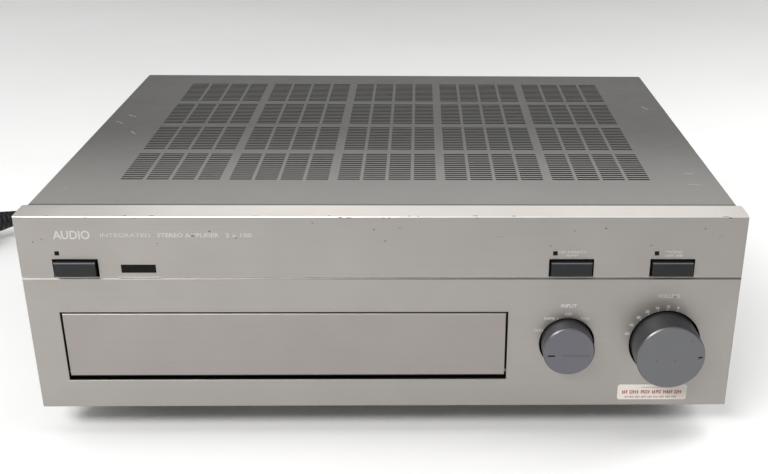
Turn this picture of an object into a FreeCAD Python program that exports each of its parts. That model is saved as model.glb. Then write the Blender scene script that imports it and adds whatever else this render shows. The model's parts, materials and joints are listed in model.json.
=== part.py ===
import FreeCAD, Part
import math
import os

import Sketcher

Vector = FreeCAD.Vector

# Integrated stereo amplifier.  Millimetres.  +Z is up and the floor is z = 0.
# +Y runs from the front to the rear, and x = 0 is the middle of the fascia.
# The origin is on the floor, halfway from the volume knob's face to the strain relief's tip.

# places nearer than this count as the same place
TOUCHING = 1e-4

doc = FreeCAD.newDocument("amplifier")
sheet = doc.addObject("Spreadsheet::Sheet", "dims")


# ---------------------------------------------------------------- driving dimensions

class Size:
    """A length from the sheet, or a sum or product of such lengths."""

    def __init__(self, value, text):
        self.value = float(value)
        self.text = text

    def __add__(self, other):
        return Size(self.value + plain(other), "(%s + %s)" % (self.text, written(other)))

    def __sub__(self, other):
        return Size(self.value - plain(other), "(%s - %s)" % (self.text, written(other)))

    def __mul__(self, other):
        return Size(self.value * plain(other), "(%s * %s)" % (self.text, written(other)))

    def __truediv__(self, other):
        return Size(self.value / plain(other), "(%s / %s)" % (self.text, written(other)))

    def __radd__(self, other):
        return Size(plain(other), written(other)) + self

    def __rsub__(self, other):
        return Size(plain(other), written(other)) - self

    def __rmul__(self, other):
        return self * other

    def __neg__(self):
        return self * -1


def plain(length):
    return length.value if isinstance(length, Size) else float(length)


def written(length):
    return length.text if isinstance(length, Size) else "(%r)" % float(length)


def fixed(length):
    """A length that nothing else follows."""
    return Size(length, repr(float(length)))


def back(depth):
    """The y of a place that lies depth behind the fascia's front."""
    return front + depth


def around(middle, half):
    """The low and high places of something centred on middle."""
    return (middle - half, middle + half)


def dimension(alias, value, meaning):
    """Write one driving dimension into the sheet and return it."""
    row = dimension.row
    dimension.row += 1
    sheet.set("A%d" % row, meaning)
    sheet.set("B%d" % row, repr(value))
    sheet.setAlias("B%d" % row, alias)
    return Size(value, "dims." + alias)


dimension.row = 1

fascia_width = dimension("fasciaWidth", 435.0, "width of the fascia")
fascia_bottom = dimension("fasciaBottom", 21.7, "lower edge of the fascia above the floor")
fascia_top = dimension("fasciaTop", 151.0, "upper edge of the fascia above the floor")
fascia_plate = dimension("fasciaPlate", 6.0, "thickness of the fascia's front")
fascia_depth = dimension("fasciaDepth", 19.0, "depth of the fascia's rim")
fascia_wall = dimension("fasciaWall", 5.0, "thickness of the fascia's rim")
fascia_round = dimension("fasciaRound", 0.7, "rounding of the fascia's outer front edges")
rim_round = dimension("rimRound", 0.4, "rounding of the flap opening's edges")
groove_height = dimension("grooveHeight", 111.05, "height of the engraved line")
groove_width = dimension("grooveWidth", 1.7, "width of the engraved line")
groove_depth = dimension("grooveDepth", 0.7, "depth of the engraved line")

metal = dimension("sheetMetal", 1.2, "thickness of the sheet steel")
cover_inset = dimension("coverInset", 1.8, "fascia beyond the cover at each side")
cover_gap = dimension("coverGap", 1.0, "gap between the fascia's rim and the cover")
cover_drop = dimension("coverDrop", 0.3, "cover's top below the fascia's top")
cover_bend = dimension("coverBend", 2.0, "outer radius of the cover's bends")
case_depth = dimension("caseDepth", 343.0, "fascia's front to the cover's rear edge")
relief_length = dimension("reliefLength", 24.2, "strain relief behind the rear panel")

cover_skirt = dimension("coverSkirt", 24.0, "lower edge of the cover's sides above the floor")
flange_drop = dimension("flangeDrop", 12.0, "cover's rear flange turned down")
screw_radius = dimension("screwRadius", 1.5, "radius of the screws' shanks")
screw_head_radius = dimension("screwHeadRadius", 3.0, "radius of the screws' heads")
screw_head_rise = dimension("screwHeadRise", 1.9, "height of the screws' heads")
screw_length = dimension("screwLength", 8.0, "length of the screws' shanks")
flange_screw_height = dimension("flangeScrewHeight", 143.0, "height of the cover's rear screws")
flange_screw_x = dimension("flangeScrewX", 150.0, "outer rear screws from the middle")
side_screw_height = dimension("sideScrewHeight", 34.0, "height of the cover's side screws")
side_screw_front = dimension("sideScrewFront", 80.0, "front side screws behind the fascia's front")
side_screw_rear = dimension("sideScrewRear", 290.0, "rear side screws behind the fascia's front")

slot_length = dimension("slotLength", 14.3, "length of one vent slot")
slot_width = dimension("slotWidth", 2.0, "width of one vent slot")
slot_pitch = dimension("slotPitch", 4.0, "pitch of the slots in a column")
column_pitch = dimension("columnPitch", 16.43, "pitch of the slot columns in a group")
group_pitch = dimension("groupPitch", 69.6, "pitch of the slot groups across the cover")
bank_pitch = dimension("bankPitch", 64.0, "pitch of the slot banks from front to rear")
bank_start = dimension("bankStart", 68.0, "first slot's middle behind the fascia's front")

opening_left = dimension("openingLeft", -198.2, "left end of the flap opening")
opening_right = dimension("openingRight", 75.8, "right end of the flap opening")
opening_bottom = dimension("openingBottom", 41.0, "lower edge of the flap opening")
opening_top = dimension("openingTop", 88.3, "upper edge of the flap opening")
door_side_gap = dimension("doorSideGap", 1.2, "gap at each end of the flap")
door_top_gap = dimension("doorTopGap", 1.0, "gap above the flap")
door_bottom_gap = dimension("doorBottomGap", 2.8, "gap below the flap")
door_thickness = dimension("doorThickness", 4.0, "thickness of the flap")
door_round = dimension("doorRound", 0.5, "rounding of the flap's front edges")
hinge_depth = dimension("hingeDepth", 3.6, "flap's hinge line behind the fascia's front")
hinge_rise = dimension("hingeRise", 2.0, "flap's hinge line above the flap's lower edge")
pin_in_fascia = dimension("pinInFascia", 4.0, "hinge pin inside the fascia")
pin_in_door = dimension("pinInDoor", 8.0, "hinge pin inside the opening")
bead_depth = dimension("beadDepth", 1.6, "hinge bead behind the flap")
pin_radius = dimension("pinRadius", 1.0, "radius of the flap's hinge pins")
running_gap = dimension("runningGap", 0.05, "radial clearance of a pin or shaft in its hole")

button_height = dimension("buttonHeight", 117.9, "height of the front buttons' middles")
button_hole_width = dimension("buttonHoleWidth", 27.2, "width of a front button's opening")
button_hole_rise = dimension("buttonHoleRise", 11.7, "height of a front button's opening")
button_gap = dimension("buttonGap", 1.25, "gap around a front button")
button_proud = dimension("buttonProud", 2.6, "front button in front of the fascia")
button_round = dimension("buttonRound", 0.5, "rounding of a front button's face")
power_x = dimension("powerX", -184.3, "power button across the fascia")
input_x = dimension("inputX", 112.95, "input knob and direct button across the fascia")
volume_x = dimension("volumeX", 174.25, "volume knob and mute button across the fascia")

ir_x = dimension("irX", -147.05, "infrared window across the fascia")
ir_height = dimension("irHeight", 117.5, "height of the infrared window")
ir_width = dimension("irWidth", 20.75, "width of the infrared window")
ir_rise = dimension("irRise", 5.4, "height of the infrared window's opening")
indicator_size = dimension("indicatorSize", 2.8, "side of an indicator window")
indicator_height = dimension("indicatorHeight", 127.5, "height of the indicator windows")
indicator_offset = dimension("indicatorOffset", -10.1, "indicator window beside its button")

knob_height = dimension("knobHeight", 66.75, "height of both knobs' axes")
knob_gap = dimension("knobGap", 1.4, "gap around a knob where it enters the fascia")
knob_sunk = dimension("knobSunk", 3.0, "knob behind the fascia's front")
input_radius = dimension("inputRadius", 16.0, "radius of the input knob")
input_length = dimension("inputLength", 12.0, "input knob in front of the fascia")
volume_radius = dimension("volumeRadius", 21.0, "radius of the volume knob")
volume_length = dimension("volumeLength", 20.0, "volume knob in front of the fascia")
knob_round = dimension("knobRound", 0.7, "rounding of a knob's front edge")
mark_width = dimension("markWidth", 1.0, "width of a knob's index")
mark_depth = dimension("markDepth", 0.4, "depth of a knob's index")
shaft_radius = dimension("shaftRadius", 3.0, "radius of the control shafts")

tray_wall = dimension("trayWall", 2.0, "thickness of the control tray's walls")
tray_gap = dimension("trayGap", 0.6, "tray's inside beyond the flap opening")
tray_back = dimension("trayBack", 22.0, "control tray's rear wall behind the fascia's front")
board_depth = dimension("boardDepth", 34.0, "control board behind the fascia's front")
tone_radius = dimension("toneRadius", 7.5, "radius of the tone knobs")
tone_height = dimension("toneHeight", 64.8, "height of the controls in the tray")
tone_middle = dimension("toneMiddle", -25.0, "middle tone knob across the fascia")
tone_pitch = dimension("tonePitch", 45.0, "pitch of the tone knobs")
small_middle = dimension("smallMiddle", -128.0, "middle small button across the fascia")
small_pitch = dimension("smallPitch", 22.0, "pitch of the small buttons")
small_width = dimension("smallWidth", 11.0, "width of a small button")
small_rise = dimension("smallRise", 6.0, "height of a small button")
small_gap = dimension("smallGap", 0.4, "gap around a small button")
jack_x = dimension("jackX", -182.0, "headphone socket across the fascia")
jack_nose = dimension("jackNose", 5.0, "radius of the headphone socket's nose")
jack_bore = dimension("jackBore", 3.25, "radius of the headphone socket's bore")

foot_radius = dimension("footRadius", 22.0, "radius of a foot")
foot_side = dimension("footSide", 165.0, "feet from the middle of the case")
foot_front = dimension("footFront", 60.0, "front feet behind the fascia's front")
foot_rear = dimension("footRear", 300.0, "rear feet behind the fascia's front")
foot_web = dimension("footWeb", 6.0, "thickness of a foot above its recess")
pad_thickness = dimension("padThickness", 2.0, "thickness of a foot's pad")
floor_plate = dimension("floorPlate", 22.0, "underside of the chassis pan above the floor")

button_back = dimension("buttonBack", 12.0, "rear of a front button's cap behind the fascia's front")
switch_depth = dimension("switchDepth", 26.0, "front buttons' stems end behind the fascia's front")
small_switch_depth = dimension("smallSwitchDepth", 29.0, "small buttons' stems end behind the front")
pot_depth = dimension("potDepth", 24.0, "front of the tone controls' bodies behind the fascia's front")
knob_hub = dimension("knobHub", 4.0, "hub behind a knob's rear")
bore_length = dimension("boreLength", 15.0, "depth of a knob's bore")
board_left = dimension("boardLeft", -203.0, "left end of the control board")
board_thickness = dimension("boardThickness", 1.6, "thickness of the circuit boards")
standoff_height = dimension("standoffHeight", 8.0, "height of the main board's standoffs")
gear_depth = dimension("gearDepth", 38.0, "gears behind the fascia's front")

transformer_x = dimension("transformerX", -135.0, "transformer across the case")
transformer_depth = dimension("transformerDepth", 150.0, "transformer behind the fascia's front")
winding_radius = dimension("windingRadius", 62.0, "outer radius of the transformer's winding")
winding_hole = dimension("windingHole", 18.0, "radius of the winding's hole")
winding_height = dimension("windingHeight", 56.0, "height of the transformer's winding")
bolt_radius = dimension("boltRadius", 4.0, "radius of the transformer's bolt")
sink_x = dimension("sinkX", 20.0, "heat sink's mounting face across the case")
sink_depth = dimension("sinkDepth", 100.0, "front end of the heat sink behind the fascia's front")
sink_height = dimension("sinkHeight", 100.0, "height of the heat sink")
main_left = dimension("mainLeft", 24.0, "left edge of the main board")
main_right = dimension("mainRight", 205.0, "right edge of the main board")
main_front = dimension("mainFront", 60.0, "front edge of the main board behind the fascia's front")
main_rear = dimension("mainRear", 320.0, "rear edge of the main board behind the fascia's front")

phono_left = dimension("phonoLeft", 10.0, "first column of phono sockets across the rear panel")
phono_pitch = dimension("phonoPitch", 22.0, "pitch of the phono sockets' columns")
phono_low = dimension("phonoLow", 98.0, "height of the lower row of phono sockets")
phono_high = dimension("phonoHigh", 118.0, "height of the upper row of phono sockets")
phono_hole = dimension("phonoHole", 5.0, "radius of a phono socket's hole in the panel")
terminal_x = dimension("terminalX", 60.0, "middle of the speaker terminals across the rear panel")
terminal_height = dimension("terminalHeight", 60.0, "height of the speaker terminals")
terminal_pitch = dimension("terminalPitch", 19.0, "pitch of the speaker terminals")
stud_radius = dimension("studRadius", 2.0, "radius of a terminal's stud")
cap_radius = dimension("capRadius", 7.0, "radius of a terminal's screw cap")
cap_length = dimension("capLength", 18.0, "length of a terminal's screw cap")
relief_neck = dimension("reliefNeck", 6.5, "radius of the strain relief's root")

gear_module = dimension("gearModule", 0.6, "module of the volume control's gears")
volume_teeth = dimension("volumeTeeth", 36.0, "teeth of the shaft's gear")
pinion_teeth = dimension("pinionTeeth", 12.0, "teeth of the motor's pinion")
gear_width = dimension("gearWidth", 4.0, "width of the gears")

relief_x = dimension("reliefX", -185.0, "strain relief across the rear panel")
relief_height = dimension("reliefHeight", 46.0, "height of the strain relief")
cord_diameter = dimension("cordDiameter", 7.0, "diameter of the mains lead")
coil_x = dimension("coilX", -84.0, "coil's middle across the floor")
coil_y = dimension("coilY", 240.0, "coil's middle behind the origin")
coil_mean = dimension("coilMean", 38.5, "radius of the coil's middle turn")
neck_x = dimension("neckX", -347.5, "tip of the plug's neck across the floor")
neck_y = dimension("neckY", 165.5, "tip of the plug's neck behind the origin")
neck_z = dimension("neckZ", 19.2, "height of the plug's axis")
neck_radius = dimension("neckRadius", 6.2, "radius of the neck's tip")
plug_radius = dimension("plugRadius", 19.0, "radius of the plug")
plug_length = dimension("plugLength", 66.0, "length of the plug and its neck")
pin_spacing = dimension("pinSpacing", 19.0, "spacing of the plug's pins")
mains_pin_radius = dimension("mainsPinRadius", 2.4, "radius of the plug's pins")
mains_pin_length = dimension("mainsPinLength", 19.0, "length of the plug's pins")
plug_turn = dimension("plugTurn", 37.0, "turn of the plug from straight across, in degrees")
sticker_left = dimension("stickerLeft", 147.4, "left edge of the sticker")
sticker_width = dimension("stickerWidth", 44.4, "width of the sticker")
sticker_bottom = dimension("stickerBottom", 26.0, "lower edge of the sticker")
sticker_rise = dimension("stickerRise", 10.9, "height of the sticker")

doc.recompute()

rear_panel_depth = case_depth - metal
front = -(rear_panel_depth + relief_length - volume_length) / 2
half_width = fascia_width / 2
cover_half = half_width - cover_inset
case_top = fascia_top - cover_drop
case_floor = floor_plate + metal
case_front = fascia_depth
door_left = opening_left + door_side_gap
door_right = opening_right - door_side_gap
door_bottom = opening_bottom + door_bottom_gap
door_top = opening_top - door_top_gap
hinge_height = door_bottom + hinge_rise
shaft_start = knob_sunk + knob_hub - bore_length + 0.5
tray_left = opening_left - tray_gap - tray_wall
tray_right = opening_right + tray_gap + tray_wall
tray_bottom = opening_bottom - tray_gap - tray_wall
tray_top = opening_top + tray_gap + tray_wall
foot_places = [(foot_side * side, back(depth)) for side in (-1, 1) for depth in (foot_front, foot_rear)]
flange_screw_places = [flange_screw_x * i for i in (-1, 0, 1)]
side_screw_depths = (side_screw_front, side_screw_rear)
board_top = case_floor + standoff_height + board_thickness
input_board_depth = rear_panel_depth - 14
main_x, main_y = (main_left, main_right), (main_front, main_rear)
standoff_places = [(x, back(y)) for x in (main_left + 8, main_right - 8)
                   for y in (main_front + 8, (main_front + main_rear) / 2, main_rear - 8)]
phono_columns = 9
phono_right = phono_left + phono_pitch * (phono_columns - 1)
phono_middle = (phono_low + phono_high) / 2
phono_places = [(phono_left + phono_pitch * i, z) for i in range(phono_columns)
                for z in (phono_low, phono_high)]
terminal_names = ("left_minus", "left_plus", "right_minus", "right_plus")
terminal_places = [terminal_x + terminal_pitch * (i - 1.5) for i in range(4)]
terminal_width = terminal_pitch * 4
indicator_places = [x + indicator_offset for x in (power_x, input_x, volume_x)]
tone_places = [tone_middle + tone_pitch * i for i in (-1, 0, 1)]
small_places = [small_middle + small_pitch * i for i in (-1, 0)]


# ---------------------------------------------------------------- ways to make a piece

nodes = []


def bind(thing, path, length):
    thing.setExpression(path, written(length))


def place(thing, x=0, y=0, z=0):
    for name, length in zip("xyz", (x, y, z)):
        bind(thing, "Placement.Base." + name, length)
    return thing


def node(thing, label):
    """Name a finished sub-part: its label names its file."""
    thing.Label = label
    nodes.append(thing)
    return thing


def block(x, y, z):
    """A box between two places on each axis."""
    box = doc.addObject("Part::Box", "block")
    for name, (low, high) in zip(("Length", "Width", "Height"), (x, y, z)):
        bind(box, name, high - low)
    return place(box, x[0], y[0], z[0])


AXIS_TURN = {
    "z": FreeCAD.Rotation(),
    "y": FreeCAD.Rotation(Vector(1, 0, 0), -90),
    "x": FreeCAD.Rotation(Vector(0, 1, 0), 90),
}


def rod(axis, radius, length, x=0, y=0, z=0):
    """A round bar that starts at x, y, z and runs along the axis."""
    cylinder = doc.addObject("Part::Cylinder", "rod")
    bind(cylinder, "Radius", radius)
    bind(cylinder, "Height", length)
    cylinder.Placement = FreeCAD.Placement(Vector(), AXIS_TURN[axis])
    return place(cylinder, x, y, z)


def cone(axis, first, second, length, x=0, y=0, z=0):
    """A round taper that starts at x, y, z and runs along the axis."""
    taper = doc.addObject("Part::Cone", "taper")
    bind(taper, "Radius1", first)
    bind(taper, "Radius2", second)
    bind(taper, "Height", length)
    taper.Placement = FreeCAD.Placement(Vector(), AXIS_TURN[axis])
    return place(taper, x, y, z)


def group(parts):
    compound = doc.addObject("Part::Compound", "group")
    compound.Links = parts
    return compound


def join(parts):
    if len(parts) == 1:
        return parts[0]
    fusion = doc.addObject("Part::MultiFuse", "union")
    fusion.Shapes = parts
    return fusion


def cut(base, tools):
    difference = doc.addObject("Part::Cut", "cut")
    difference.Base = base
    difference.Tool = tools[0] if len(tools) == 1 else group(tools)
    return difference


def new_body(label):
    body = doc.addObject("PartDesign::Body", label)
    return node(body, label)


def new_sketch(body, role, offset=0):
    """A sketch on one of the body's origin planes, moved along the plane's normal."""
    sketch = body.newObject("Sketcher::SketchObject", "outline")
    plane = [f for f in body.Origin.OriginFeatures if f.Role == role][0]
    sketch.AttachmentSupport = [(plane, "")]
    sketch.MapMode = "FlatFace"
    bind(sketch, "AttachmentOffset.Base.z", offset)
    return sketch


def draw_polygon(sketch, points):
    """A closed outline with every corner tied to the sheet."""
    places = [Vector(plain(u), plain(v), 0) for u, v in points]
    count = len(points)
    first = sketch.GeometryCount
    for i in range(count):
        sketch.addGeometry(Part.LineSegment(places[i], places[(i + 1) % count]))
    for i in range(count):
        line = first + i
        after = first + (i + 1) % count
        sketch.addConstraint(Sketcher.Constraint("Coincident", line, 2, after, 1))
    for i, (u, v) in enumerate(points):
        for kind, length in (("DistanceX", u), ("DistanceY", v)):
            rule = Sketcher.Constraint(kind, -1, 1, first + i, 1, plain(length))
            index = sketch.addConstraint(rule)
            if isinstance(length, Size):
                bind(sketch, "Constraints[%d]" % index, length)


def draw_rectangle(sketch, u, v):
    draw_polygon(sketch, [(u[0], v[0]), (u[1], v[0]), (u[1], v[1]), (u[0], v[1])])


def draw_circle(sketch, u, v, radius):
    centre = Vector(plain(u), plain(v), 0)
    circle = sketch.addGeometry(Part.Circle(centre, Vector(0, 0, 1), plain(radius)))
    for kind, length in (("DistanceX", u), ("DistanceY", v)):
        index = sketch.addConstraint(Sketcher.Constraint(kind, -1, 1, circle, 3, plain(length)))
        bind(sketch, "Constraints[%d]" % index, length)
    index = sketch.addConstraint(Sketcher.Constraint("Radius", circle, plain(radius)))
    bind(sketch, "Constraints[%d]" % index, radius)


def pad(body, sketch, length):
    feature = body.newObject("PartDesign::Pad", "pad")
    feature.Profile = sketch
    bind(feature, "Length", length)
    sketch.Visibility = False
    return feature


def pocket(body, sketch, length=None, both_ways=False):
    """Cut an outline into the body: a given length, or right through."""
    feature = body.newObject("PartDesign::Pocket", "pocket")
    feature.Profile = sketch
    if length is None:
        feature.Type = "ThroughAll"
    else:
        bind(feature, "Length", length)
    feature.Midplane = both_ways
    return feature


def plate_sketch(body, depth):
    """An outline seen from the front, at a depth behind the fascia's front.

    The plane's normal points to the front, so a pad grows forwards and a pocket cuts backwards.
    """
    return new_sketch(body, "XZ_Plane", -back(depth))


def round_edges(body, base, radius, chosen):
    """Round the edges of the last feature that the rule picks."""
    doc.recompute()
    names = ["Edge%d" % (i + 1) for i, edge in enumerate(base.Shape.Edges) if chosen(edge)]
    fillet = body.newObject("PartDesign::Fillet", "rounding")
    fillet.Base = (base, names)
    bind(fillet, "Radius", radius)
    return fillet


def lies_at_depth(edge, depth):
    box = edge.BoundBox
    y = plain(back(depth))
    return abs(box.YMin - y) < TOUCHING and abs(box.YMax - y) < TOUCHING


def turned(body, outline):
    """Revolve an outline of (radius, y) corners about the body's Y axis."""
    sketch = new_sketch(body, "XY_Plane")
    draw_polygon(sketch, outline)
    feature = body.newObject("PartDesign::Revolution", "turning")
    feature.Profile = sketch
    feature.ReferenceAxis = (sketch, ["V_Axis"])
    feature.Angle = 360
    return feature


def screw(axis, x, y, z, inward=1):
    """One pan-head screw, the same all over the case: x, y, z is the seat of its head."""
    where = {"x": x, "y": y, "z": z}
    head, shank = dict(where), dict(where)
    if inward > 0:
        head[axis] = where[axis] - screw_head_rise
    else:
        shank[axis] = where[axis] - screw_length
    return join([rod(axis, screw_head_radius, screw_head_rise, **head),
                 rod(axis, screw_radius, screw_length, **shank)])


# ---------------------------------------------------------------- fascia and case

def make_front_fascia():
    body = new_body("front_fascia")
    outline = plate_sketch(body, fascia_depth)
    draw_rectangle(outline, (-half_width, half_width), (fascia_bottom, fascia_top))
    shell = pad(body, outline, fascia_depth)
    round_edges(body, shell, fascia_round, lambda e: lies_at_depth(e, 0))

    hollow = plate_sketch(body, fascia_plate)
    draw_rectangle(hollow, (-half_width + fascia_wall, half_width - fascia_wall),
                   (fascia_bottom + fascia_wall, fascia_top - fascia_wall))
    pocket(body, hollow)

    openings = plate_sketch(body, -1)
    draw_rectangle(openings, (opening_left, opening_right), (opening_bottom, opening_top))
    for x in (power_x, input_x, volume_x):
        draw_rectangle(openings, around(x, button_hole_width / 2),
                       around(button_height, button_hole_rise / 2))
    for x, radius in ((input_x, input_radius), (volume_x, volume_radius)):
        draw_circle(openings, x, knob_height, radius + knob_gap)
    draw_rectangle(openings, around(ir_x, ir_width / 2), around(ir_height, ir_rise / 2))
    for x in indicator_places:
        draw_rectangle(openings, around(x, indicator_size / 2),
                       around(indicator_height, indicator_size / 2))
    holes = pocket(body, openings)
    round_edges(body, holes, rim_round, is_flap_opening_edge)

    line = new_sketch(body, "YZ_Plane")
    draw_polygon(line, [(back(-0.2), groove_height - groove_width / 2 - 0.2),
                        (back(groove_depth), groove_height),
                        (back(-0.2), groove_height + groove_width / 2 + 0.2)])
    pocket(body, line, fascia_width * 2, both_ways=True)

    # blind-ended bores in the ends of the flap opening carry the hinge pins
    bores = new_sketch(body, "YZ_Plane", opening_left - 5)
    draw_circle(bores, back(hinge_depth), hinge_height, pin_radius + running_gap)
    drilled = pocket(body, bores, opening_right - opening_left + 10)
    drilled.Reversed = True


def is_flap_opening_edge(edge):
    box = edge.BoundBox
    inside = (box.XMin > plain(opening_left) - 0.01 and box.XMax < plain(opening_right) + 0.01
              and box.ZMin > plain(opening_bottom) - 0.01 and box.ZMax < plain(opening_top) + 0.01)
    return inside and lies_at_depth(edge, 0)


def make_windows():
    fit = 0.05
    sunk = 0.4
    pane = block(around(ir_x, ir_width / 2 - fit), (back(sunk), back(fascia_plate)),
                 around(ir_height, ir_rise / 2 - fit))
    flange = block(around(ir_x, ir_width / 2 + 2), (back(fascia_plate), back(fascia_plate + 1)),
                   around(ir_height, ir_rise / 2 + 2))
    node(join([pane, flange]), "ir_window")
    lights = []
    for x in indicator_places:
        half = indicator_size / 2 - fit
        lights.append(block(around(x, half), (back(sunk), back(fascia_plate + 4)),
                            around(indicator_height, half)))
    node(group(lights), "indicator_windows")


def make_sub_panel():
    body = new_body("sub_panel")
    outline = plate_sketch(body, case_front + metal)
    draw_rectangle(outline, (-cover_half + metal + 0.4, cover_half - metal - 0.4),
                   (case_floor, case_top - metal - 0.2))
    draw_rectangle(outline, (tray_left - 0.3, tray_right + 0.3), (tray_bottom - 0.3, tray_top + 0.3))
    for x in (power_x, input_x, volume_x):
        draw_rectangle(outline, around(x, 5), around(button_height, 3))
    for x in (input_x, volume_x):
        draw_circle(outline, x, knob_height, shaft_radius + 1)
    pad(body, outline, metal)


def make_control_tray():
    body = new_body("control_tray")
    outline = plate_sketch(body, tray_back + tray_wall)
    draw_rectangle(outline, (tray_left, tray_right), (tray_bottom, tray_top))
    pad(body, outline, tray_back + tray_wall - fascia_plate - 0.1)
    hollow = plate_sketch(body, 0)
    draw_rectangle(hollow, (tray_left + tray_wall, tray_right - tray_wall),
                   (tray_bottom + tray_wall, tray_top - tray_wall))
    pocket(body, hollow, tray_back)
    holes = plate_sketch(body, 0)
    for x in tone_places:
        draw_circle(holes, x, tone_height, shaft_radius + 0.4)
    for x in small_places:
        draw_rectangle(holes, around(x, small_width / 2 + small_gap),
                       around(tone_height, small_rise / 2 + small_gap))
    draw_circle(holes, jack_x, tone_height, jack_nose)
    pocket(body, holes)


def make_door():
    body = new_body("door")
    outline = plate_sketch(body, door_thickness)
    draw_rectangle(outline, (door_left, door_right), (door_bottom, door_top))
    panel = pad(body, outline, door_thickness)
    round_edges(body, panel, door_round, lambda e: lies_at_depth(e, 0))
    # a bead along the lower rear edge carries the hinge pins
    bead = plate_sketch(body, door_thickness + bead_depth)
    draw_rectangle(bead, (door_left, door_right), (door_bottom, door_bottom + hinge_rise * 2))
    pad(body, bead, bead_depth + 0.5)
    for end, reverse in ((door_left - 1, True), (door_right + 1, False)):
        bore = new_sketch(body, "YZ_Plane", end)
        draw_circle(bore, back(hinge_depth), hinge_height, pin_radius)
        drilled = pocket(body, bore, pin_in_door + 3)
        drilled.Reversed = reverse
    pins = [
        rod("x", pin_radius, pin_in_fascia + pin_in_door, opening_left - pin_in_fascia,
            back(hinge_depth), hinge_height),
        rod("x", pin_radius, pin_in_fascia + pin_in_door, opening_right - pin_in_door,
            back(hinge_depth), hinge_height),
    ]
    node(group(pins), "door_hinge_pins")


def make_top_cover():
    """The folded cover: a vented top and two sides, with a short flange turned down at the rear."""
    body = new_body("top_cover")
    fold = new_sketch(body, "XZ_Plane", -back(case_depth))
    inner = cover_half - metal
    draw_polygon(fold, [
        (-cover_half, cover_skirt), (-cover_half, case_top), (cover_half, case_top),
        (cover_half, cover_skirt), (inner, cover_skirt), (inner, case_top - metal),
        (-inner, case_top - metal), (-inner, cover_skirt),
    ])
    shell = pad(body, fold, case_depth - fascia_depth - cover_gap)
    round_edges(body, shell, cover_bend, is_outer_bend)
    flange = plate_sketch(body, case_depth)
    draw_rectangle(flange, (-inner - 0.1, inner + 0.1),
                   (case_top - metal - flange_drop, case_top - metal / 2))
    pad(body, flange, metal)
    holes = plate_sketch(body, case_depth + 1)
    for x in flange_screw_places:
        draw_circle(holes, x, flange_screw_height, screw_radius)
    drilled = pocket(body, holes, metal + 2)
    drilled.Reversed = True
    side = new_sketch(body, "YZ_Plane")
    for depth in side_screw_depths:
        draw_circle(side, back(depth), side_screw_height, screw_radius)
    pocket(body, side, fascia_width * 2, both_ways=True)
    doc.recompute()
    solid = doc.addObject("Part::Cut", "vented_cover")
    nodes.remove(body)
    body.Label = "cover_blank"
    solid.Base = body
    solid.Tool = vent_slots()
    node(solid, "top_cover")


def is_outer_bend(edge):
    box = edge.BoundBox
    top = abs(box.ZMin - plain(case_top)) < 0.01 and abs(box.ZMax - plain(case_top)) < 0.01
    return top and box.XMax - box.XMin < 0.01


def vent_slots():
    """All the punched slots as one tool: banks of slots in groups of columns."""
    tool = doc.addObject("Part::Feature", "vent_slots")
    half_length, half_width_of_slot = plain(slot_length) / 2, plain(slot_width) / 2
    height = plain(metal) + 2
    slots = []
    for group_step in range(-2, 3):
        for column in range(4):
            x = group_step * plain(group_pitch) + (column - 1.5) * plain(column_pitch)
            for bank in range(4):
                for slot in range(14):
                    y = plain(back(bank_start)) + bank * plain(bank_pitch) + slot * plain(slot_pitch)
                    corner = Vector(x - half_length, y - half_width_of_slot, plain(case_top) - height + 1)
                    slots.append(Part.makeBox(2 * half_length, 2 * half_width_of_slot, height, corner))
    tool.Shape = Part.makeCompound(slots)
    return tool


def make_chassis_pan():
    inner = cover_half - metal - 0.3
    pan = block((-inner, inner), (back(case_front), back(rear_panel_depth)), (floor_plate, case_floor))
    rims = [block(reach, (back(case_front + metal), back(rear_panel_depth - metal)),
                  (case_floor, case_floor + 20))
            for reach in ((-inner, metal - inner), (inner - metal, inner))]
    holes = [rod("z", screw_radius, 10, x, y, floor_plate - 5) for x, y in foot_places]
    holes += [rod("x", screw_radius, fascia_width * 2, -half_width * 2, back(d), side_screw_height)
              for d in side_screw_depths]
    holes.append(rod("z", bolt_radius, 10, transformer_x, back(transformer_depth), floor_plate - 5))
    node(cut(join([pan] + rims), holes), "chassis_pan")


def make_rear_panel():
    inner = cover_half - metal - 0.3
    panel = block((-inner, inner), (back(rear_panel_depth - metal), back(rear_panel_depth)),
                  (case_floor, case_top - metal - 0.2))
    holes = [rod("y", screw_radius, 10, x, back(rear_panel_depth - 5), flange_screw_height)
             for x in flange_screw_places]
    holes.append(rod("y", relief_neck, 10, relief_x, back(rear_panel_depth - 5), relief_height))
    holes += [rod("y", phono_hole, 10, x, back(rear_panel_depth - 5), z) for x, z in phono_places]
    holes.append(block(around(terminal_x, terminal_width / 2),
                       (back(rear_panel_depth - 5), back(case_depth + 5)), around(terminal_height, 8)))
    node(cut(panel, holes), "rear_panel")


def make_feet():
    feet, pads = [], []
    for x, y in foot_places:
        shell = cone("z", foot_radius - 1.5, foot_radius, floor_plate - pad_thickness, x, y, pad_thickness)
        recess = rod("z", foot_radius / 2, floor_plate - pad_thickness - foot_web, x, y, pad_thickness)
        hole = rod("z", screw_radius, 30, x, y, 0)
        feet.append(cut(shell, [join([recess, hole])]))
        ring = rod("z", foot_radius - 4, pad_thickness, x, y, 0)
        pads.append(cut(ring, [rod("z", foot_radius / 2 + 1, 10, x, y, -5)]))
    node(group(feet), "feet")
    node(group(pads), "foot_pads")


def make_screws():
    """Every machine screw of the case, the feet and the main board."""
    made = [screw("y", x, back(case_depth), flange_screw_height, -1) for x in flange_screw_places]
    for depth in side_screw_depths:
        made.append(screw("x", -cover_half, back(depth), side_screw_height))
        made.append(screw("x", cover_half, back(depth), side_screw_height, -1))
    made += [screw("z", x, y, floor_plate - foot_web) for x, y in foot_places]
    made += [screw("z", x, y, board_top, -1) for x, y in standoff_places]
    node(group(made), "machine_screws")


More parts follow.
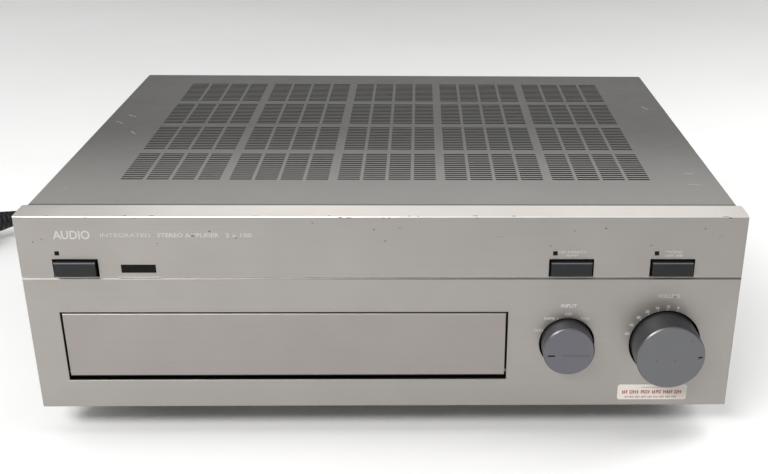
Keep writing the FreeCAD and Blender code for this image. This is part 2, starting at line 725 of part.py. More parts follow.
def make_sticker():
    node(block((sticker_left, sticker_left + sticker_width), (back(-0.15), back(0)),
               (sticker_bottom, sticker_bottom + sticker_rise)), "front_sticker")


# ---------------------------------------------------------------- front controls

def make_front_button(label, x):
    body = new_body(label)
    cap = plate_sketch(body, button_back)
    draw_rectangle(cap, around(x, button_hole_width / 2 - button_gap),
                   around(button_height, button_hole_rise / 2 - button_gap))
    face = pad(body, cap, button_back + button_proud)
    front_y = plain(back(-button_proud))
    round_edges(body, face, button_round, lambda e: abs(e.BoundBox.YMax - front_y) < TOUCHING)
    stem = plate_sketch(body, switch_depth)
    draw_rectangle(stem, around(x, 3), around(button_height, 2))
    pad(body, stem, switch_depth - button_back + 1)


def make_knob(label, x, radius, length, mark):
    """A turned knob: face, rounded edge, blind bore for the shaft, and an index cut in the face.

    The index runs between two places in the face, each given across and up from the knob's axis.
    """
    body = new_body(label)
    tip = -length
    turned(body, [
        (0, tip), (radius - knob_round, tip), (radius, tip + knob_round), (radius, knob_sunk),
        (shaft_radius + 4, knob_sunk), (shaft_radius + 4, knob_sunk + knob_hub),
        (shaft_radius, knob_sunk + knob_hub), (shaft_radius, knob_sunk + knob_hub - bore_length),
        (0, knob_sunk + knob_hub - bore_length),
    ])
    doc.recompute()
    (inner_x, inner_z), (outer_x, outer_z) = mark
    reach = math.hypot(outer_x - inner_x, outer_z - inner_z)
    aside_x = (inner_z - outer_z) / reach * mark_width / 2
    aside_z = (outer_x - inner_x) / reach * mark_width / 2
    index = new_sketch(body, "XZ_Plane", length + 1)
    draw_polygon(index, [(inner_x + aside_x, inner_z + aside_z), (outer_x + aside_x, outer_z + aside_z),
                         (outer_x - aside_x, outer_z - aside_z), (inner_x - aside_x, inner_z - aside_z)])
    pocket(body, index, mark_depth + 1)
    place(body, x, front, knob_height)


def make_tone_knob(label, x):
    """A small knob moulded in one piece with its spindle."""
    body = new_body(label)
    tip = tray_back - 12
    turned(body, [
        (0, tip), (tone_radius - 0.8, tip), (tone_radius, tip + 0.8), (tone_radius, tray_back - 0.6),
        (shaft_radius, tray_back - 0.6), (shaft_radius, pot_depth + 6), (0, pot_depth + 6),
    ])
    index = new_sketch(body, "XZ_Plane", -tip + 1)
    draw_rectangle(index, around(fixed(0.0), mark_width / 2), (tone_radius - 4.5, tone_radius - 1))
    pocket(body, index, mark_depth + 1)
    place(body, x, front, tone_height)


def make_small_button(label, x):
    body = new_body(label)
    cap = plate_sketch(body, tray_back + tray_wall)
    draw_rectangle(cap, around(x, small_width / 2), around(tone_height, small_rise / 2))
    pad(body, cap, fixed(10.0))
    stem = plate_sketch(body, small_switch_depth)
    draw_rectangle(stem, around(x, 2), around(tone_height, 1.5))
    pad(body, stem, small_switch_depth - tray_back - 2)


def gear_wire(teeth, module, turn):
    """A gear's outline: straight-flanked teeth on the pitch circle, with working backlash."""
    pitch_radius = module * teeth / 2
    root, tip = pitch_radius - 1.15 * module, pitch_radius + 0.85 * module
    step = 2 * math.pi / teeth
    points = []
    for tooth in range(int(teeth)):
        middle = tooth * step + turn
        for radius, share in ((root, -0.33), (tip, -0.11), (tip, 0.11), (root, 0.33)):
            angle = middle + share * step
            points.append(Vector(radius * math.cos(angle), 0, radius * math.sin(angle)))
    return Part.makePolygon(points + [points[0]])


def make_gear(teeth, turn, x, z):
    face = Part.Face(gear_wire(plain(teeth), plain(gear_module), turn))
    gear = doc.addObject("Part::Feature", "gear")
    gear.Shape = face.extrude(Vector(0, plain(gear_width), 0))
    return place(gear, x, back(gear_depth), z)


def make_volume_drive():
    """The motor-driven potentiometer: shaft with its gear, body, motor, and the motor's pinion."""
    shaft = rod("y", shaft_radius, gear_depth + gear_width - shaft_start, volume_x,
                back(shaft_start), knob_height)
    node(join([shaft, make_gear(volume_teeth, 0, volume_x, knob_height)]), "volume_shaft")
    pinion_z = knob_height + gear_module * (volume_teeth + pinion_teeth) / 2
    half_tooth = math.pi / plain(pinion_teeth)
    spindle = rod("y", 1, 12, volume_x, back(gear_depth), pinion_z)
    # the pinion's gap faces down, between the teeth of the gear below it
    turn = -math.pi / 2 + half_tooth
    node(join([spindle, make_gear(pinion_teeth, turn, volume_x, pinion_z)]), "motor_pinion")
    body = block(around(volume_x, 12), (back(case_front + metal), back(board_depth - 0.1)),
                 around(knob_height, 12))
    node(cut(body, [rod("y", shaft_radius + running_gap, 40, volume_x, back(10), knob_height)]),
         "volume_pot")
    motor = rod("y", 10, 24, volume_x, back(gear_depth + gear_width + 4), pinion_z)
    plate_front = gear_depth + gear_width + 2
    plate = block(around(volume_x, 17), (back(plate_front), back(plate_front + 2)),
                  (pinion_z - 8, pinion_z + 12))
    posts = [rod("y", 2, plate_front - board_depth - board_thickness, volume_x + side * 14.5,
                 back(board_depth + board_thickness), pinion_z + 9) for side in (-1, 1)]
    hole = rod("y", 1 + running_gap, 12, volume_x, back(gear_depth + gear_width), pinion_z)
    node(cut(join([motor, plate] + posts), [hole]), "volume_motor")


def make_input_switch():
    node(rod("y", shaft_radius, board_depth - 4 - shaft_start, input_x, back(shaft_start), knob_height),
         "input_shaft")
    body = block(around(input_x, 13), (back(case_front + metal), back(board_depth - 0.1)),
                 around(knob_height, 13))
    node(cut(body, [rod("y", shaft_radius + running_gap, 40, input_x, back(10), knob_height)]),
         "input_switch")


def make_tone_pots():
    pots = []
    for x in tone_places:
        body = block(around(x, 8), (back(pot_depth), back(board_depth - 0.1)), around(tone_height, 8))
        bore = rod("y", shaft_radius + running_gap, 7, x, back(pot_depth - 0.5), tone_height)
        pots.append(cut(body, [bore]))
    node(group(pots), "tone_pots")


def make_push_switches():
    """A switch behind each front button and each small one: the stem works in its open front."""
    switches = []
    for x in (power_x, input_x, volume_x):
        body = block(around(x, 7), (back(switch_depth - 4), back(board_depth - 0.1)),
                     around(button_height, 5))
        well = block(around(x, 3.4), (back(switch_depth - 5), back(switch_depth + 4.5)),
                     around(button_height, 2.4))
        switches.append(cut(body, [well]))
    for x in small_places:
        body = block(around(x, 5), (back(small_switch_depth - 2), back(board_depth - 0.1)),
                     around(tone_height, 4))
        well = block(around(x, 2.4), (back(small_switch_depth - 3), back(small_switch_depth + 3.5)),
                     around(tone_height, 1.9))
        switches.append(cut(body, [well]))
    node(group(switches), "push_switches")


def make_headphone_jack():
    nose = rod("y", jack_nose, tray_wall + 1, jack_x, back(tray_back - 1), tone_height)
    shell = block(around(jack_x, 8), (back(tray_back + tray_wall), back(tray_back + 30)),
                  around(tone_height, 7))
    bore = rod("y", jack_bore, 30, jack_x, back(tray_back - 2), tone_height)
    node(cut(join([nose, shell]), [bore]), "headphone_jack")


# ---------------------------------------------------------------- electronics

def make_boards():
    board = block((board_left, cover_half - 12), (back(board_depth), back(board_depth + board_thickness)),
                  (30, 135))
    holes = [rod("y", shaft_radius + 1, 10, volume_x, back(board_depth - 4), knob_height),
             block(around(jack_x, 9), (back(board_depth - 4), back(board_depth + 4)),
                   around(tone_height, 8))]
    node(cut(board, holes), "control_board")
    main = block(main_x, (back(main_y[0]), back(main_y[1])), (board_top - board_thickness, board_top))
    node(cut(main, [rod("z", screw_radius, 10, x, y, board_top - 5) for x, y in standoff_places]),
         "main_board")
    standoffs = [cut(rod("z", 3, standoff_height, x, y, case_floor),
                     [rod("z", screw_radius, 10, x, y, board_top - screw_length)])
                 for x, y in standoff_places]
    node(group(standoffs), "board_standoffs")
    input_board = block((phono_left - 12, phono_right + 12),
                        (back(input_board_depth), back(input_board_depth + board_thickness)),
                        (phono_low - 12, phono_high + 12))
    node(input_board, "input_board")


def make_transformer():
    body = new_body("transformer_winding")
    low, high = case_floor + 2, case_floor + 2 + winding_height
    sketch = new_sketch(body, "XZ_Plane")
    corner = 8
    draw_polygon(sketch, [
        (winding_hole, low + corner), (winding_hole + corner, low), (winding_radius - corner, low),
        (winding_radius, low + corner), (winding_radius, high - corner), (winding_radius - corner, high),
        (winding_hole + corner, high), (winding_hole, high - corner),
    ])
    feature = body.newObject("PartDesign::Revolution", "winding")
    feature.Profile = sketch
    feature.ReferenceAxis = (sketch, ["V_Axis"])
    feature.Angle = 360
    place(body, transformer_x, back(transformer_depth), 0)
    x, y = transformer_x, back(transformer_depth)
    washer = cut(rod("z", 34, 2, x, y, high), [rod("z", bolt_radius, 10, x, y, high - 5)])
    lower = cut(rod("z", 40, 2, x, y, case_floor), [rod("z", bolt_radius, 10, x, y, case_floor - 5)])
    node(group([washer, lower]), "transformer_washers")
    bolt = join([rod("z", bolt_radius, winding_height + 4 + metal + 4, x, y, floor_plate),
                 rod("z", 7, 4, x, y, high + 2), rod("z", 6, 2.5, x, y, floor_plate - 2.5)])
    node(bolt, "transformer_bolt")


def make_heat_sink():
    """An extruded comb that stands along the middle of the case, with its fins towards the left."""
    body = new_body("heat_sink")
    sketch = new_sketch(body, "XY_Plane", case_floor)
    wall, fin, reach, gap = 6, 2, 32, 9
    fins = 17
    length = fins * fin + (fins - 1) * gap
    outline = [(sink_x, back(sink_depth)), (sink_x, back(sink_depth + length)),
               (sink_x - wall - reach, back(sink_depth + length))]
    y = sink_depth + length
    for _ in range(fins - 1):
        outline += [(sink_x - wall - reach, back(y - fin)), (sink_x - wall, back(y - fin)),
                    (sink_x - wall, back(y - fin - gap)), (sink_x - wall - reach, back(y - fin - gap))]
        y = y - fin - gap
    outline += [(sink_x - wall - reach, back(sink_depth))]
    draw_polygon(sketch, outline)
    pad(body, sketch, sink_height)


def make_power_parts():
    transistors = []
    for i in range(4):
        y = back(sink_depth + 25 + i * 40)
        transistors.append(block((sink_x, sink_x + 5), (y, y + 16), (case_floor + 22, case_floor + 42)))
    node(group(transistors), "power_transistors")
    capacitors = [rod("z", 15, 45, main_x[0] + 20 + i * 32, back(main_y[0] + 26), board_top)
                  for i in range(4)]
    node(group(capacitors), "reservoir_capacitors")
    node(block((main_x[1] - 45, main_x[1] - 17), around(back(main_y[0] + 26), 14),
               (board_top, board_top + 10.4)), "bridge_rectifier")
    relays = [block(around(main_x[1] - 30 - i * 34, 13), around(back(main_y[1] - 22), 10),
                    (board_top, board_top + 24)) for i in range(2)]
    node(group(relays), "speaker_relays")


# ---------------------------------------------------------------- rear panel fittings

def make_phono_sockets():
    shells, whites, reds = [], [], []
    face = rear_panel_depth
    for x, z in phono_places:
        flange = rod("y", phono_hole + 2.4, 1.4, x, back(face), z)
        sleeve = rod("y", 4.15, 9.5, x, back(face), z)
        inside = rod("y", phono_hole - 0.05, 13.5, x, back(input_board_depth + board_thickness), z)
        bore = rod("y", 3.3, 30, x, back(face - 15), z)
        shells.append(cut(join([flange, sleeve, inside]), [bore]))
        plug = rod("y", 3.3, 18, x, back(face - 9), z)
        contact = rod("y", 1.6, 8, x, back(face + 3), z)
        inserts = whites if z.value > plain(phono_middle) else reds
        inserts.append(cut(plug, [contact]))
    node(group(shells), "phono_sockets")
    node(group(whites), "phono_inserts_white")
    node(group(reds), "phono_inserts_red")


def make_speaker_terminals():
    face = rear_panel_depth
    base = block(around(terminal_x, terminal_width / 2 + 3), (back(face), back(face + 3)),
                 around(terminal_height, 12))
    core = block(around(terminal_x, terminal_width / 2 - 0.2), (back(face - 6), back(face)),
                 around(terminal_height, 7.8))
    holes = [rod("y", stud_radius, 30, x, back(face - 10), terminal_height) for x in terminal_places]
    node(cut(join([base, core]), holes), "speaker_terminal_block")
    studs = [rod("y", stud_radius, 28, x, back(face - 12), terminal_height) for x in terminal_places]
    node(group(studs), "terminal_studs")
    for name, x in zip(terminal_names, terminal_places):
        body = new_body("terminal_cap_" + name)
        low, high = face + 3.3, face + 3.3 + cap_length
        turned(body, [
            (stud_radius + running_gap, low), (cap_radius - 1.5, low), (cap_radius - 1.5, low + 3),
            (cap_radius, low + 4), (cap_radius, high - 1), (cap_radius - 1, high), (0, high),
            (0, low + 14), (stud_radius + running_gap, low + 14),
        ])
        place(body, x, front, terminal_height)


def make_strain_relief():
    """A moulded bush in the rear panel with a long tapered sleeve around the lead."""
    y = back(rear_panel_depth)
    parts = [
        rod("y", relief_neck - 0.05, metal, relief_x, y - metal, relief_height),
        rod("y", relief_neck + 2, 5, relief_x, y - metal - 5, relief_height),
        rod("y", relief_neck + 2, 3, relief_x, y, relief_height),
        cone("y", relief_neck, cord_diameter / 2 + 1.2, relief_length - 3, relief_x, y + 3, relief_height),
    ]
    node(join(parts), "strain_relief")


# ---------------------------------------------------------------- mains lead

def lead_to_coil():
    """The lead's route from the strain relief down to the coil: (x, y, z) of every corner."""
    x, y, z = plain(relief_x), plain(back(rear_panel_depth + relief_length)), plain(relief_height)
    floor = plain(cord_diameter) / 2
    end_y = plain(coil_y) + plain(coil_mean) + plain(cord_diameter)
    return [
        (x, y, z), (x, y + 19, z - 1), (x + 1, y + 39, z - 9), (x + 4, y + 57, z - 21),
        (x + 11, y + 74, z - 33), (x + 24, y + 87, floor + 2), (x + 43, end_y + 3, floor),
        (x + 68, end_y + 3, floor), (plain(coil_x), end_y, floor),
    ]


def lead_to_plug():
    """The lead's route from the coil along the rear of the case to the plug's neck."""
    floor = plain(cord_diameter) / 2
    start_y = plain(coil_y) - plain(coil_mean) - plain(cord_diameter)
    x = plain(coil_x)
    neck = Vector(plain(neck_x), plain(neck_y), plain(neck_z))
    away = plug_direction() * -1
    first = neck + away * 24
    return [
        (x, start_y, floor * 3), (x - 36, start_y - 1, floor * 2.2), (x - 74, start_y + 1, floor),
        (x - 118, start_y + 5, floor), (x - 164, start_y + 11.5, floor), (x - 200, start_y + 11, floor),
        (x - 225.5, start_y + 1, floor + 2), tuple(first - Vector(0, 0, 7)), tuple(neck),
    ]


def plug_direction():
    """Which way the plug's pins point, as it lies on the floor."""
    angle = math.radians(plain(plug_turn))
    return Vector(-math.cos(angle), -math.sin(angle), 0)


def swept_tube(points, radius):
    """A round tube along straight runs joined by the largest tangent arcs that fit."""
    corners = [Vector(*p) for p in points]
    edges, here, radii = [], corners[0], []
    for before, corner, after in zip(corners, corners[1:], corners[2:]):
        inward, outward = (corner - before).normalize(), (after - corner).normalize()
        turn = inward.getAngle(outward)
        tangent = 0.45 * min((corner - before).Length, (after - corner).Length)
        radii.append(tangent / math.tan(turn / 2))
        start, stop = corner - inward * tangent, corner + outward * tangent
        centre_way = (outward - inward).normalize()
        middle = corner + centre_way * (radii[-1] / math.cos(turn / 2) - radii[-1])
        edges += [Part.LineSegment(here, start).toShape(), Part.Arc(start, middle, stop).toShape()]
        here = stop
    edges.append(Part.LineSegment(here, corners[-1]).toShape())
    path = Part.Wire(edges)
    circle = Part.Circle(corners[0], corners[1] - corners[0], radius)
    tube = path.makePipeShell([Part.Wire([circle.toShape()])], True, False)
    ideal = math.pi * radius ** 2 * path.Length
    print("lead: length %.1f, volume over ideal %.5f, radii %s"
          % (path.Length, tube.Volume / ideal, [round(r) for r in radii]))
    return tube


def make_mains_lead():
    radius = plain(cord_diameter) / 2
    pieces = []
    for name, route in (("lead_to_coil", lead_to_coil()), ("lead_to_plug", lead_to_plug())):
        piece = doc.addObject("Part::Feature", name)
        piece.Shape = swept_tube(route, radius)
        pieces.append(piece)
    node(group(pieces), "mains_cord")
    inner, outer = coil_mean - cord_diameter * 1.5, coil_mean + cord_diameter * 1.5
    ring = cut(rod("z", outer, cord_diameter * 2, coil_x, coil_y, 0),
               [rod("z", inner, cord_diameter * 4, coil_x, coil_y, -cord_diameter)])
    node(ring, "mains_cord_coil")
    tie_x, half = coil_x + coil_mean, cord_diameter * 1.5
    strap = block(around(tie_x, half + 1.4), around(coil_y, 4), (0, cord_diameter * 2 + 1.2))
    inside = block(around(tie_x, half + 0.4), around(coil_y, 10), (-1, cord_diameter * 2 + 0.2))
    node(cut(strap, [inside]), "cord_tie")


def make_plug():
    """A round moulded mains plug with a tapered neck and two round pins."""
    body = new_body("mains_plug")
    turned(body, [
        (0, 0), (neck_radius, 0), (neck_radius + 2.6, 17), (neck_radius + 4.2, 30),
        (plug_radius - 1.5, 37), (plug_radius, 39), (plug_radius, plug_length - 2),
        (plug_radius - 1.5, plug_length), (0, plug_length),
    ])
    forward = plug_direction()
    body.Placement = FreeCAD.Placement(Vector(), FreeCAD.Rotation(Vector(0, 1, 0), forward))
    place(body, neck_x, neck_y, neck_z)
    side = forward.cross(Vector(0, 0, 1))
    pins = []
    for way in (-1, 1):
        base = forward * plain(plug_length) + side * (way * plain(pin_spacing) / 2)
        pin = rod("z", mains_pin_radius, mains_pin_length)
        pin.Placement = FreeCAD.Placement(Vector(), FreeCAD.Rotation(Vector(0, 0, 1), forward))
        pins.append(place(pin, neck_x + base.x, neck_y + base.y, neck_z + base.z))
    node(group(pins), "plug_pins")


# ---------------------------------------------------------------- build and write

make_front_fascia()
make_windows()
make_sub_panel()
make_control_tray()
make_top_cover()
make_chassis_pan()
make_rear_panel()
make_feet()
make_screws()
make_sticker()
make_door()
for label, x in (("power_button", power_x), ("direct_button", input_x), ("mute_button", volume_x)):
    make_front_button(label, x)
make_knob("input_knob", input_x, input_radius, input_length, ((-8.4, -2.8), (-12.8, -2.8)))
make_knob("volume_knob", volume_x, volume_radius, volume_length, ((16.5, 0.0), (19.3, 0.5)))
for label, x in zip(("bass_knob", "treble_knob", "balance_knob"), tone_places):
    make_tone_knob(label, x)
for label, x in zip(("speakers_a_button", "speakers_b_button"), small_places):
    make_small_button(label, x)
make_volume_drive()
make_input_switch()
make_tone_pots()
make_push_switches()
make_headphone_jack()
make_boards()
make_transformer()
make_heat_sink()
make_power_parts()
make_phono_sockets()
make_speaker_terminals()
make_strain_relief()
make_mains_lead()
make_plug()

doc.recompute()
for thing in doc.Objects:
    if "Invalid" in thing.State or "Error" in thing.State:
        raise RuntimeError("%s failed: %s" % (thing.Label, thing.State))
for thing in nodes:
    if thing.Shape.isNull() or not thing.Shape.isValid() or not thing.Shape.Solids:
        raise RuntimeError("%s has no valid solid" % thing.Label)

os.makedirs("parts", exist_ok=True)
for thing in nodes:
    thing.Shape.exportStep("parts/%s.step" % thing.Label)
print("%d nodes written" % len(nodes))
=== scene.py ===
import json
import math
import random

import bmesh
import bpy
from mathutils import Matrix, Vector


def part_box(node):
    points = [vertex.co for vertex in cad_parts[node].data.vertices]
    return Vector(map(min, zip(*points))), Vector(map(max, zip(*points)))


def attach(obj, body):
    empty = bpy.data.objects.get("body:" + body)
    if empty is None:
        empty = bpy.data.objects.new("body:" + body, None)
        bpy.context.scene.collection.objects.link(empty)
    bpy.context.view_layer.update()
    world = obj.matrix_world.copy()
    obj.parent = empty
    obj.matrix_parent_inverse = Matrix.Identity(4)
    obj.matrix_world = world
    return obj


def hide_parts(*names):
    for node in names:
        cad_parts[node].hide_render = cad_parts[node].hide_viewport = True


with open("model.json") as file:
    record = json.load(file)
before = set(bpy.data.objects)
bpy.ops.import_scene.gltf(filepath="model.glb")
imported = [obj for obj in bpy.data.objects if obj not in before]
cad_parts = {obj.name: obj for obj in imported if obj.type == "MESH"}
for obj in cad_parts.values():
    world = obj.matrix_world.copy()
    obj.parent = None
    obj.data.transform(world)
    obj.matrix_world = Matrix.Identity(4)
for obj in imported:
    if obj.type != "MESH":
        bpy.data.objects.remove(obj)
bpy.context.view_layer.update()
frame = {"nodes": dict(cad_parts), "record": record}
nodes = frame["nodes"]

MM = 0.001
fascia_low, fascia_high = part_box("front_fascia")
FRONT = fascia_low.y
FASCIA_TOP = fascia_high.z
REAR_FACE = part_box("rear_panel")[1].y
TRAY_WALL_FACE = FRONT + 22 * MM
KNOB_HEIGHT = sum(corner.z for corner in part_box("volume_knob")) / 2
GROOVE_HEIGHT = 111.05 * MM
OPENINGS_FOOT, OPENINGS_TOP, OPENINGS_REACH = 30 * MM, 126 * MM, 212 * MM
COVER_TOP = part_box("top_cover")[1].z
# Painted shade: the cover is painted darker towards the rear, down to this part of its front tone.
REAR_SHADE = 0.42    # the cover's tone at the rear, as a part of its tone at the front
PLUG_AXIS = Vector((-math.cos(math.radians(37)), -math.sin(math.radians(37)), 0))


# ---------------------------------------------------------------- material builder

class Shader:
    """A material around one Principled shader, with short calls for its texture nodes."""

    def __init__(self, name, **values):
        self.material = bpy.data.materials.new(name)
        self.material.use_nodes = True
        self.tree = self.material.node_tree
        self.surface = self.tree.nodes["Principled BSDF"]
        self.place = self.tree.nodes.new("ShaderNodeTexCoord").outputs["Object"]
        for key, value in values.items():
            self.surface.inputs[key.replace("_", " ")].default_value = value

    def link(self, source, target):
        self.tree.links.new(source, target)

    def stretched(self, stretch):
        if tuple(stretch) == (1, 1, 1):
            return self.place
        node = self.tree.nodes.new("ShaderNodeMapping")
        node.inputs["Scale"].default_value = stretch
        self.link(self.place, node.inputs["Vector"])
        return node.outputs["Vector"]

    def noise(self, scale, detail=3.0, stretch=(1, 1, 1), roughness=0.55):
        node = self.tree.nodes.new("ShaderNodeTexNoise")
        node.inputs["Scale"].default_value = scale
        node.inputs["Detail"].default_value = detail
        node.inputs["Roughness"].default_value = roughness
        self.link(self.stretched(stretch), node.inputs["Vector"])
        return node.outputs["Fac"]

    def cells(self, scale, stretch=(1, 1, 1), output="Distance"):
        node = self.tree.nodes.new("ShaderNodeTexVoronoi")
        node.inputs["Scale"].default_value = scale
        self.link(self.stretched(stretch), node.inputs["Vector"])
        return node.outputs[output]

    def bricks(self, scale, stretch=(1, 1, 1)):
        node = self.tree.nodes.new("ShaderNodeTexBrick")
        node.inputs["Scale"].default_value = scale
        node.inputs["Mortar Size"].default_value = 0.06
        self.link(self.stretched(stretch), node.inputs["Vector"])
        return node.outputs["Fac"]

    def ramp(self, value, low, high, to=(0.0, 1.0)):
        node = self.tree.nodes.new("ShaderNodeMapRange")
        node.interpolation_type = "SMOOTHSTEP"
        for name, number in zip(("From Min", "From Max", "To Min", "To Max"), (low, high) + tuple(to)):
            node.inputs[name].default_value = number
        self.link(value, node.inputs["Value"])
        return node.outputs["Result"]

    def math(self, operation, first, second=0.0):
        node = self.tree.nodes.new("ShaderNodeMath")
        node.operation = operation
        for socket, value in zip(node.inputs, (first, second)):
            if isinstance(value, (int, float)):
                socket.default_value = value
            else:
                self.link(value, socket)
        return node.outputs["Value"]

    def axis(self, name):
        node = self.tree.nodes.new("ShaderNodeSeparateXYZ")
        self.link(self.place, node.inputs["Vector"])
        return node.outputs[name]

    def polar(self, x, z):
        """The radius and the angle about a line that runs from front to rear."""
        across = self.math("SUBTRACT", self.axis("X"), x)
        up = self.math("SUBTRACT", self.axis("Z"), z)
        radius = self.math("POWER", self.math("ADD", self.math("MULTIPLY", across, across),
                                              self.math("MULTIPLY", up, up)), 0.5)
        return radius, self.math("ARCTAN2", up, across)

    def near(self, name, place, width):
        """1 at a place along an axis, fading to 0 a width away from it."""
        offset = self.math("ABSOLUTE", self.math("SUBTRACT", self.axis(name), place))
        return self.ramp(offset, 0.0, width, (1.0, 0.0))

    def mix(self, fac, first, second):
        node = self.tree.nodes.new("ShaderNodeMix")
        node.data_type = "RGBA"
        self.link(fac, node.inputs["Factor"])
        for socket, value in zip((node.inputs[6], node.inputs[7]), (first, second)):
            if isinstance(value, tuple):
                socket.default_value = value + (1.0,)
            else:
                self.link(value, socket)
        return node.outputs[2]

    def colour(self, value):
        self.link(value, self.surface.inputs["Base Color"])
        return value

    def rough(self, value):
        self.link(value, self.surface.inputs["Roughness"])

    def bump(self, height, distance, strength=1.0):
        node = self.tree.nodes.new("ShaderNodeBump")
        node.inputs["Strength"].default_value = strength
        node.inputs["Distance"].default_value = distance
        self.link(height, node.inputs["Height"])
        normal = self.surface.inputs["Normal"]
        if normal.is_linked:
            self.link(normal.links[0].from_socket, node.inputs["Normal"])
        self.link(node.outputs["Normal"], normal)


def shade(colour, factor):
    return tuple(min(1.0, c * factor) for c in colour)


def drifting(s, colour, patch, scale):
    """The colour, with slow changes of tone across the surface."""
    return s.mix(s.ramp(s.noise(scale, 4), 0.3, 0.7), shade(colour, 1 - patch), shade(colour, 1 + patch))


def moulded(name, colour, roughness, grain=0.03, grain_scale=1800, patch=0.1, **values):
    """Moulded plastic or rubber: a fine eroded grain, faint dust, and uneven gloss from handling."""
    s = Shader(name, **values)
    body = drifting(s, colour, patch, 60)
    dust = s.ramp(s.noise(420, 4, roughness=0.7), 0.62, 0.8, (0.0, 0.25))
    s.colour(s.mix(dust, body, shade((0.2, 0.19, 0.175), 1 + sum(colour))))
    s.rough(s.ramp(s.noise(240, 3), 0.3, 0.7, (roughness - 0.06, roughness + 0.07)))
    s.bump(s.noise(grain_scale, 2), grain * MM, 0.6)
    return s


def sprayed(name, colour, roughness, grain=0.03, grain_scale=1900, patch=0.04, **values):
    """Sprayed paint on sheet steel: orange-peel grain, slow drift of tone, and faint handling marks."""
    s = Shader(name, **values)
    s.colour(drifting(s, colour, patch, 9))
    s.rough(s.ramp(s.noise(26, 5, roughness=0.7), 0.35, 0.75, (roughness - 0.04, roughness + 0.06)))
    s.bump(s.noise(grain_scale, 2), grain * MM, 0.5)
    return s


def metal(name, colour, roughness, stretch=(1, 1, 1), scale=900, grain=0.01, **values):
    """Bare or plated metal with the direction of its finish, and some tarnish."""
    s = Shader(name, Metallic=1.0, **values)
    lines = s.noise(scale, 3, stretch)
    s.colour(drifting(s, colour, 0.09, 45))
    s.rough(s.ramp(lines, 0.3, 0.7, (max(0.06, roughness - 0.07), roughness + 0.1)))
    s.bump(lines, grain * MM, 0.5)
    return s


# ---------------------------------------------------------------- camera, floor and light

CAMERA_PITCH, CAMERA_YAW, CAMERA_ROLL = (math.radians(angle) for angle in (24.587, 1.436, -0.566))
CAMERA_PLACE = (0.02176, FRONT - 0.597, 0.38175)
CAMERA_LENS = 50.75
CAMERA_SHIFT = (-0.0796, 0.0589)


def set_camera():
    """The view from above the front, a little to the right of the middle."""
    forward = Vector((math.sin(CAMERA_YAW) * math.cos(CAMERA_PITCH),
                      math.cos(CAMERA_YAW) * math.cos(CAMERA_PITCH), -math.sin(CAMERA_PITCH)))
    level = Vector((math.cos(CAMERA_YAW), -math.sin(CAMERA_YAW), 0))
    down = forward.cross(level)
    right = level * math.cos(CAMERA_ROLL) + down * math.sin(CAMERA_ROLL)
    up = right.cross(forward)
    turn = Matrix((right, up, -forward)).transposed().to_4x4()
    data = bpy.data.cameras.new("view")
    data.sensor_width = 36
    data.lens = CAMERA_LENS
    data.shift_x, data.shift_y = CAMERA_SHIFT
    camera = bpy.data.objects.new("view", data)
    camera.matrix_world = Matrix.Translation(CAMERA_PLACE) @ turn
    bpy.context.scene.collection.objects.link(camera)
    bpy.context.scene.camera = camera


def add_light(name, place, target, size, power, glossy=True):
    """A rectangular area light aimed at a target, with its power in watts."""
    data = bpy.data.lights.new(name, "AREA")
    data.shape = "RECTANGLE"
    data.size, data.size_y = size
    data.energy = power
    light = bpy.data.objects.new(name, data)
    light.visible_camera = False
    light.visible_glossy = glossy
    aim = Vector(target) - Vector(place)
    light.matrix_world = Matrix.Translation(place) @ aim.to_track_quat("-Z", "Y").to_matrix().to_4x4()
    bpy.context.scene.collection.objects.link(light)


def set_stage():
    bpy.ops.mesh.primitive_plane_add(size=8, location=(0, 1.0, 0))
    floor = bpy.context.object
    floor.name = "floor"
    s = Shader("floor_paper", **{"Specular IOR Level": 0.15})
    s.colour(drifting(s, (0.86, 0.86, 0.855), 0.015, 3))
    s.rough(s.ramp(s.noise(30, 3), 0.3, 0.7, (0.7, 0.8)))
    floor.data.materials.append(s.material)
    world = bpy.data.worlds.new("studio")
    bpy.context.scene.world = world
    world.use_nodes = True
    world.node_tree.nodes["Background"].inputs["Color"].default_value = (1, 0.995, 0.985, 1)
    world.node_tree.nodes["Background"].inputs["Strength"].default_value = 0.16
    bpy.context.scene.view_settings.view_transform = "Standard"
    add_light("key", (-0.62, FRONT - 0.85, 1.0), (-0.12, FRONT, 0.05), (1.0, 0.22), 18.5)
    add_light("softbox", (-0.1, FRONT - 0.1, 1.0), (-0.1, FRONT - 0.1, 0), (1.4, 0.5), 3.5)
    add_light("rear_wall", (0.1, 1.5, 0.95), (0.05, 0.1, 0.1), (1.5, 0.8), 3.0)
    add_light("floor_left", (-0.95, 0.45, 0.9), (-0.8, 0.45, 0), (0.5, 0.9), 3.4, glossy=False)
    add_light("floor_right", (0.95, 0.15, 0.9), (0.7, 0.1, 0), (0.5, 0.9), 9.5, glossy=False)
    add_light("back_left", (-1.2, 1.5, 0.8), (-1.0, 1.2, 0), (0.8, 0.8), 3.0, glossy=False)
    add_light("back_right", (1.3, 1.5, 0.8), (1.1, 1.2, 0), (0.8, 0.8), 4.0, glossy=False)
